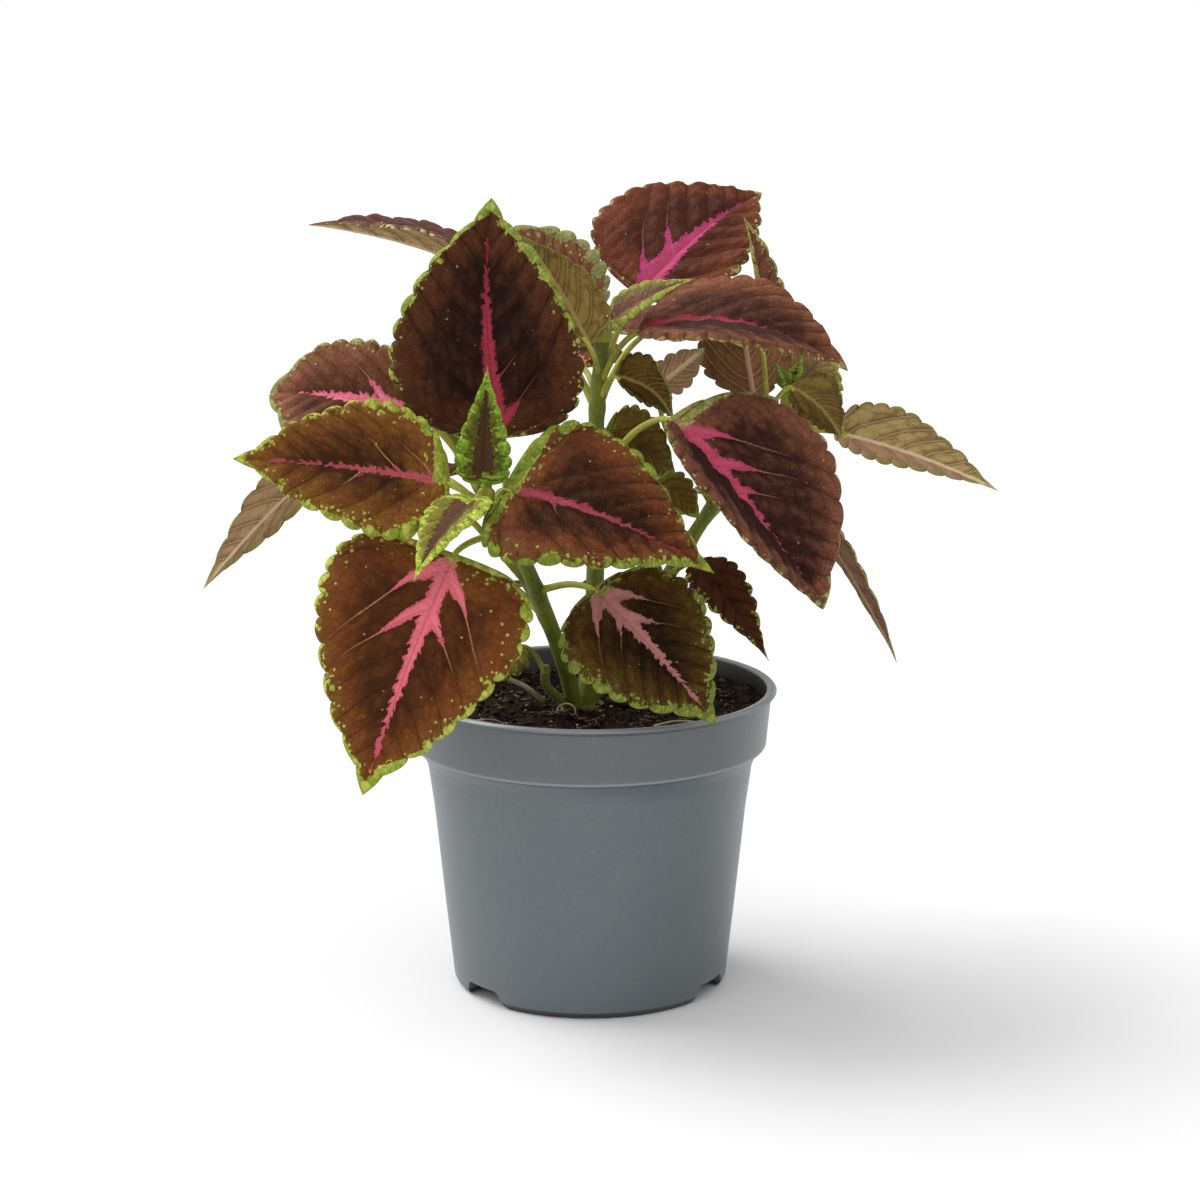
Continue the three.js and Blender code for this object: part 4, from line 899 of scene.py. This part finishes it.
lipFoot, bandEdge = brim - pot["lipHeight"], brim - pot["bandHeight"]  # both heights


def potFinish():
    finish = Finish("pot_plastic", potTints)
    place = finish.place()
    cloud, fine, grain = finish.noise(place, 45, 3), finish.noise(place, 1.4, 3), finish.noise(place, 0.5)
    x, y, height = (finish.add("SeparateXYZ", {}, {0: place}, axis) for axis in "XYZ")
    # rub marks, painted highlights along the band's foot edge and the rim's top, painted shade under the
    # lip, and specks of soil near the rim
    nearRim = height.step(brim - 15.5, brim - 3.5) * height.step(brim - 1, brim - 3)
    rub = finish.noise(place, 7, 4).step(0.6, 0.72) * fine.step(0.5, 0.7) * nearRim
    # edges are painted highlights: pale lines on the band's foot edge and on the rim's top
    edges = height.step(bandEdge - 0.5, bandEdge) * height.step(bandEdge + 0.9, bandEdge + 0.4)
    edges = edges + height.step(brim - 1.2, brim - 0.8) * (0.5 + cloud)
    # painted shade: a dark line under the lip, broken up by the cloud
    groove = height.step(brim - 2.6, brim - 2.2) * height.step(brim - 1.4, brim - 1.7)
    specks = (finish.cells(place, 7) + 0.05 * fine).step(0.09, 0.05) * finish.lots(place, 7).step(0.26, 0.2)
    # soil dust and painted shade on the inside wall above the soil
    across = x * x + y * y
    reach = across.maths("POWER", across, 0.5) - 0.08 * (height - bandEdge)
    dustAndShade = reach.step(bandFoot - 0.4, bandFoot - 0.8) * height.step(brim - 13.5, brim - 11.5)
    dustAndShade = dustAndShade * (height + 5 * (cloud - 0.5)).step(brim + 1, brim - 3.5)
    body = finish.coats(
        "cool",
        (cloud.step(0.35, 0.7), "base"),
        (0.05 * fine.step(0.4, 0.75), "pale"),
        # painted shade: the band and the lip are darker, as in the shade of the leaves
        (0.3 * height.step(bandEdge - 2, bandEdge + 4), "markAndShade"),
        (0.9 * height.step(2.3, 1.9), "contactShade"),  # painted contact shadow along the foot
        (0.22 * rub + 0.42 * edges, "pale"),
        (0.5 * groove * cloud.step(0.42, 0.6), "markAndShade"),
        (0.88 * dustAndShade, "dustAndShade"),
        (0.75 * specks * nearRim, "markAndShade"),
    )
    return finish.wear({
        "Base Color": body,
        "Roughness": 0.34 + 0.1 * cloud - 0.05 * rub,
        "Normal": finish.bump(grain + 0.5 * fine, 0.12, 0.06),
        "Specular IOR Level": 0.9,
    })


def rounded(profile, radius):
    # Softens each corner of an open or closed run of (radius, height) points.
    result = []
    count = len(profile)
    for i in range(count):
        before, here, after = (np.array(profile[(i + k) % count], dtype=float) for k in (-1, 0, 1))
        if here[0] < 1e-6:
            result.append(here)
            continue
        into, away = before - here, after - here
        first = here + into * min(radius / np.linalg.norm(into), 0.45)
        last = here + away * min(radius / np.linalg.norm(away), 0.45)
        for t in (0, 0.25, 0.5, 0.75, 1):
            result.append((1 - t) ** 2 * first + 2 * t * (1 - t) * here + t ** 2 * last)
    return result


def lathe(profile, sides):
    # Turns a run of points that starts and ends on the axis into a closed mesh.
    points = [[0, 0, profile[0][1]], [0, 0, profile[-1][1]]]
    ring = profile[1:-1]
    for r, z in ring:
        for k in range(sides):
            turn = 2 * math.pi * k / sides
            points.append([r * math.cos(turn), r * math.sin(turn), z])
    faces = []
    for k in range(sides):
        after = (k + 1) % sides
        last = 2 + (len(ring) - 1) * sides
        faces.append([0, 2 + after, 2 + k])
        faces.append([1, last + k, last + after])
        for i in range(len(ring) - 1):
            a = 2 + i * sides
            faces.append([a + k, a + after, a + sides + after, a + sides + k])
    return points, faces


def cutAway(piece, cutters):
    for cutter in cutters:
        modifier = piece.modifiers.new("cut", "BOOLEAN")
        modifier.operation = "DIFFERENCE"
        modifier.solver = "EXACT"
        modifier.object = cutter
    seen = piece.evaluated_get(bpy.context.evaluated_depsgraph_get())
    mesh = bpy.data.meshes.new_from_object(seen)
    piece.modifiers.clear()
    piece.data = mesh
    for cutter in cutters:
        bpy.data.objects.remove(cutter)


def sharpen(piece, degrees):
    work = bmesh.new()
    work.from_mesh(piece.data)
    for edge in work.edges:
        edge.smooth = edge.calc_face_angle(0) < math.radians(degrees)
    for face in work.faces:
        face.smooth = True
    work.to_mesh(piece.data)
    work.free()


def notchCutter(angle):
    half = pot["notchWidth"] / 2
    corners = [(-half - 3, 0), (-half - 0.8, 0.6), (-half - 1.2, footHeight), (-half + 1.6, footHeight)]
    run = [(-half - 4, -1), corners[0]]
    for t in np.linspace(0.125, 1, 8):
        weights = [(1 - t) ** 3, 3 * t * (1 - t) ** 2, 3 * t * t * (1 - t), t ** 3]
        run.append(tuple(sum(w * c[k] for w, c in zip(weights, corners)) for k in (0, 1)))
    run += [(-x, z) for x, z in reversed(run)]
    turn = math.radians(angle)
    across = np.array([math.cos(turn), math.sin(turn), 0])
    out = np.array([math.sin(turn), -math.cos(turn), 0])
    depths = footRadius - 7, footRadius + 2
    points = [x * across + depth * out + [0, 0, z] for depth in depths for x, z in run]
    count = len(run)
    faces = [list(range(count)), list(range(2 * count - 1, count - 1, -1))]
    for i in range(count):
        j = (i + 1) % count
        faces.append([i, i + count, j + count, j])
    return makePiece("notch", points, faces, [], smooth=False)


def drainCutter(turn):
    x, y = pot["drainRing"] * math.cos(turn), pot["drainRing"] * math.sin(turn)
    places, ways = np.array([[x, y, -2], [x, y, 12]]), np.array([[0, 0, 1.0]] * 2)
    return makePiece("drain", *tube(places, ways, [pot["drainRadius"]] * 2, 40), [], smooth=False)


def buildPot():
    outer = [
        (0, 0), (pad, 0), (pad + 2.4, footHeight), (footRadius - 3.9, footHeight),
        (footRadius - 3.3, 0), (footRadius - 1.5, 0), (footRadius, 2), (bodyMid, midHeight),
        (bodyTop - 1.9, pot["bendHeight"]), (bodyTop, bandEdge - 6.5), (bodyTop + 0.9, bandEdge - 4),
        (bandFoot - 1.5, bandEdge - 0.9), (bandFoot, bandEdge - 0.1), (bandFoot, bandEdge + 0.8),
        (bandTop, lipFoot - 0.3), (lip - 0.5, lipFoot), (lip, brim - pot["lipHeight"] * 0.55),
        (lip - 1.1, brim),
    ]
    inner = [
        (bandTop - wall - 0.2, brim - 0.5), (bandFoot - wall, bandEdge + 1),
        (bandFoot - wall - 1, bandEdge - 0.4), (bodyTop - wall, bandEdge - 5.8),
        (bodyMid - wall, midHeight), (footRadius - wall - 0.3, footHeight + wall + 0.6),
        (footRadius - wall - 1.2, footHeight + wall),
        (pad + 1.6, footHeight + wall), (pad - 1, wall + 0.2), (0, wall + 0.2),
    ]
    points, faces = lathe(rounded(outer + inner, pot["round"]), pot["sides"])
    piece = makePiece("pot_fine", points, faces, [potFinish()])
    cutters = [notchCutter(angle) for angle in pot["notchAngles"]]
    cutters += [drainCutter(2 * math.pi * (i + 0.5) / pot["drainHoles"]) for i in range(pot["drainHoles"])]
    cutAway(piece, cutters)
    sharpen(piece, 38)
    settle(piece, "pot", "pot")


buildPot()
print("pot ready")


# Soil

soil = {
    "level": 89.5, "lump": 1.3, "bank": 2.6, "gap": 0.3, "rings": 90, "sides": 200,
    "crumbs": 1700, "fibres": 150, "chips": 90, "grit": 34, "gritReach": 38,
}
soilInset = wall + soil["gap"] + 0.35
soilEdge = bandFoot + (bandTop - bandFoot) * ((soil["level"] - bandEdge) / pot["bandHeight"]) - soilInset
soilTints = {
    "dark": "#080503", "mid": "#27190e", "pale": "#66492f",
    "fibre": "#8f8068", "straw": "#b3a688", "root": "#d8d2bd",
}
soilKinds = {  # tints of the hollows, the ground and the high grains
    "soil_peat": ("dark", "mid", "pale"),
    "soil_crumb": ("dark", "mid", "pale"),
    "soil_chip": ("mid", "pale", "fibre"),
    "soil_grit": ("fibre", "root", "root"),
    "soil_fibre": ("pale", "fibre", "root"),
    "soil_litter": ("fibre", "straw", "root"),
}
litter = {  # loose bits: points, radius
    "stub": ([[-15, 6, 90.5], [-20, 4, 95], [-26, 3, 98.5]], 1.0),
    "root": ([[-10.5, -12, 90.6], [-10, -11, 92.6], [-7.5, -10.5, 93.6], [-5, -11, 92.6],
              [-4.5, -11.5, 90.4]], 0.35),
    "twig": ([[20, -30, 91.2], [27, -27, 92], [34, -26, 91.4]], 0.45),
    "straw": ([[-36, -22, 91], [-30, -26, 92.2], [-25, -31, 91.2]], 0.3),
}


def soilHeight(x, y):
    wide = np.sin(x * 0.21 + 1.3) * np.cos(y * 0.19 + 0.4)
    fine = np.sin(x * 0.53 + y * 0.31) * np.cos(y * 0.47 - x * 0.22 + 2)
    bank = soil["bank"] * np.clip((x + 0.4 * y - 12) / 26, 0, 1)  # heaped up on the right
    return soil["level"] + soil["lump"] * (0.6 * wide + 0.5 * fine) + bank


def soilRelief(x, y):
    # Crumbs too small to be pieces of their own.
    total = 0.7 * np.sin(1.1 * x + 2 * np.sin(0.7 * y)) * np.sin(1.3 * y + 1.7 * np.sin(0.9 * x))
    total = total + 0.45 * np.sin(2.9 * x + 1.1 * np.sin(2.1 * y)) * np.sin(3.1 * y + np.sin(2.3 * x))
    return 0.5 * total


def soilFinish(name):
    finish = Finish(name, soilTints)
    place = finish.place()
    broad, fine = finish.noise(place, 5, 4), finish.noise(place, 0.8, 4)
    hollow, ground, grain = soilKinds[name]
    # the hollows of the bump take the darker first tint: partly the soil's own colour, partly painted shade
    body = finish.coats(hollow, (broad.step(0.4, 0.62), ground), (0.6 * fine.step(0.56, 0.7), grain))
    return finish.wear({
        "Base Color": body,
        "Roughness": 0.82 + 0.15 * fine,
        "Normal": finish.bump(broad + fine, 0.9, 0.7),
        "Specular IOR Level": 0.15,
    })


def settleSoil(heap, name, kinds, *nodes):
    settle(heap.finish(name, [soilFinish(kind) for kind in kinds]), "soil", *nodes)


def dropAt(rng, reach):
    # A place on a round of this reach, drawn evenly.
    far, turn = reach * math.sqrt(rng.uniform()), rng.uniform(0, 2 * math.pi)
    return np.array([far * math.cos(turn), far * math.sin(turn)])


def crumb(rng, spot, size, flat, lift):
    # A rough lump on the soil: an eight-sided body pulled out of shape.
    corners = np.array([[1, 0, 0], [-1, 0, 0], [0, 1, 0], [0, -1, 0], [0, 0, 1], [0, 0, -1]], dtype=float)
    corners = corners * rng.uniform(0.6, 1.25, (6, 3)) + rng.normal(0, 0.18, (6, 3))
    corners[:, 2] *= flat
    turn = rng.uniform(0, 2 * math.pi)
    spin = np.array([[math.cos(turn), -math.sin(turn), 0], [math.sin(turn), math.cos(turn), 0], [0, 0, 1]])
    faces = [[0, 2, 4], [2, 1, 4], [1, 3, 4], [3, 0, 4], [2, 0, 5], [1, 2, 5], [3, 1, 5], [0, 3, 5]]
    return corners @ spin * size + [*spot, soilHeight(*spot) + lift], faces


def buildGround():
    gap, level, sole = soil["gap"], soil["level"], footHeight + wall
    profile = [
        (0, wall + 0.2 + gap), (pad - 1.4, wall + 0.2 + gap), (pad + 1.2, sole + gap),
        (footRadius - 2.1 - wall, sole + gap), (footRadius - wall - 0.8, sole + 1.4),
        (bodyMid - soilInset, midHeight), (bodyTop - soilInset, bandEdge - 5.6),
        (bandFoot - soilInset - 1.1, bandEdge - 0.1), (bandFoot - soilInset - 0.1, bandEdge + 1.2),
        (soilEdge, level - 2.2),
    ]
    profile += [((soilEdge - 0.3) * (1 - i / soil["rings"]), level) for i in range(soil["rings"])]
    points, faces = lathe(profile + [(0, level)], soil["sides"])
    points = np.array(points, dtype=float)
    upper = points[:, 2] > level - 0.1
    x, y = points[upper, 0], points[upper, 1]
    calm = np.clip((soilEdge - np.hypot(x, y)) / 3, 0.2, 1)  # lower relief along the wall
    points[upper, 2] = soilHeight(x, y) + soilRelief(x, y) * calm
    heap = Heap()
    heap.put(points, faces, 0)
    settleSoil(heap, "soil_fine", ["soil_peat"], "soil")


def buildCrumbs(rng):
    heap = Heap()
    for i in range(soil["crumbs"]):
        spot = dropAt(rng, soilEdge - 2.2)
        chip = i <= soil["chips"]
        size = rng.uniform(1.2, 2.2) if chip else rng.uniform(0.4, 1.1)
        lump = crumb(rng, spot, size, 0.35 if chip else 0.7, 0.3 * size)
        heap.put(*lump, 0 if rng.uniform() < 0.8 else 1)
    for _ in range(soil["grit"]):
        spot = rng.uniform(-soil["gritReach"], soil["gritReach"], 2)
        heap.put(*crumb(rng, spot, rng.uniform(0.35, 0.75), 0.7, 0.7), 2)
    settleSoil(heap, "soil_crumbs", ["soil_crumb", "soil_chip", "soil_grit"])


def knobs(turn, part):  # uneven bark of the litter
    return 1 + 0.12 * math.sin(3 * turn + 9 * part)


def buildFibres(rng):
    heap = Heap()
    for _ in range(soil["fibres"]):
        centre, way, long = dropAt(rng, soilEdge - 5), rng.uniform(0, 2 * math.pi), rng.uniform(1.5, 5.5)
        curve = []
        for t in np.linspace(-0.5, 0.5, 5):
            spot = centre + long * t * np.array([math.cos(way + t), math.sin(way + t)])
            spot *= min(1, (soilEdge - 1.5) / np.hypot(*spot))
            curve.append([*spot, soilHeight(*spot) + 0.75 + rng.uniform(-0.2, 0.5)])
        heap.put(*tube(*throughPoints(curve, 8), np.full(9, rng.uniform(0.09, 0.2)), 4), 0)
    for points, radius in litter.values():
        places, ways = throughPoints(points, 24)
        radii = radius * (1 - 0.25 * np.linspace(0, 1, 25))
        heap.put(*tube(places, ways, radii, 10, knobs), 1)
    settleSoil(heap, "soil_fibres", ["soil_fibre", "soil_litter"])


buildGround()
soilRng = np.random.default_rng(11)
buildCrumbs(soilRng)
buildFibres(soilRng)
print("soil ready")


# Studio

studio = {
    "cameraAt": (0.0032, -0.890, 0.310), "cameraPitch": 78.26, "lens": 85.5, "sensor": 36, "clipEnd": 50,
    "floorTints": {"grey": "#cbcbcc", "pale": "#cdcdce"}, "floorHalf": 6000, "floorBack": 12000,
    "skyTint": (1, 1, 1, 1), "sky": 1.0,
    "lamps": {  # direction, power, and degrees across for soft shadows
        "key": ((-0.8, 0.45, 1.0), 3.2, 44),
        "fill": ((-0.35, -1.0, 0.55), 0.9, 110),
    },
}


def addLamps():
    for name, (place, power, spread) in studio["lamps"].items():
        lamp = bpy.data.lights.new(name, "SUN")
        lamp.energy = power
        lamp.angle = math.radians(spread)
        light = bpy.data.objects.new(name, lamp)
        light.location = place
        light.rotation_euler = Vector(place).to_track_quat("Z", "Y").to_euler()
        bpy.context.scene.collection.objects.link(light)


def addCamera():
    camera = bpy.data.objects.new("camera", bpy.data.cameras.new("camera"))
    camera.location = studio["cameraAt"]
    camera.rotation_euler = (math.radians(studio["cameraPitch"]), 0, 0)
    camera.data.lens = studio["lens"]
    camera.data.sensor_width = studio["sensor"]
    camera.data.clip_end = studio["clipEnd"]
    bpy.context.scene.collection.objects.link(camera)
    bpy.context.scene.camera = camera


def addFloor():
    finish = Finish("floor_white", studio["floorTints"])
    tone = finish.blend(finish.noise(finish.place(), 300), "grey", "pale")
    white = finish.wear({"Base Color": tone, "Roughness": 0.9, "Specular IOR Level": 0.0})
    half, back = studio["floorHalf"], studio["floorBack"]
    corners = [[-half, -half, 0], [half, -half, 0], [half, back, 0], [-half, back, 0]]
    makePiece("floor", corners, [[0, 1, 2, 3]], [white], smooth=False)


def addSky():
    world = bpy.data.worlds.new("studio")
    world.use_nodes = True
    background = world.node_tree.nodes["Background"]
    background.inputs["Color"].default_value = studio["skyTint"]
    background.inputs["Strength"].default_value = studio["sky"]
    bpy.context.scene.world = world


addCamera()
addFloor()
addSky()
addLamps()
bpy.context.scene.view_settings.view_transform = "Standard"
bpy.context.scene.view_settings.look = "None"
print("studio ready")

shown = [o.data for o in bpy.context.scene.objects if o.type == "MESH" and not o.hide_render]
print("triangles:", sum(len(face.vertices) - 2 for mesh in shown for face in mesh.polygons))
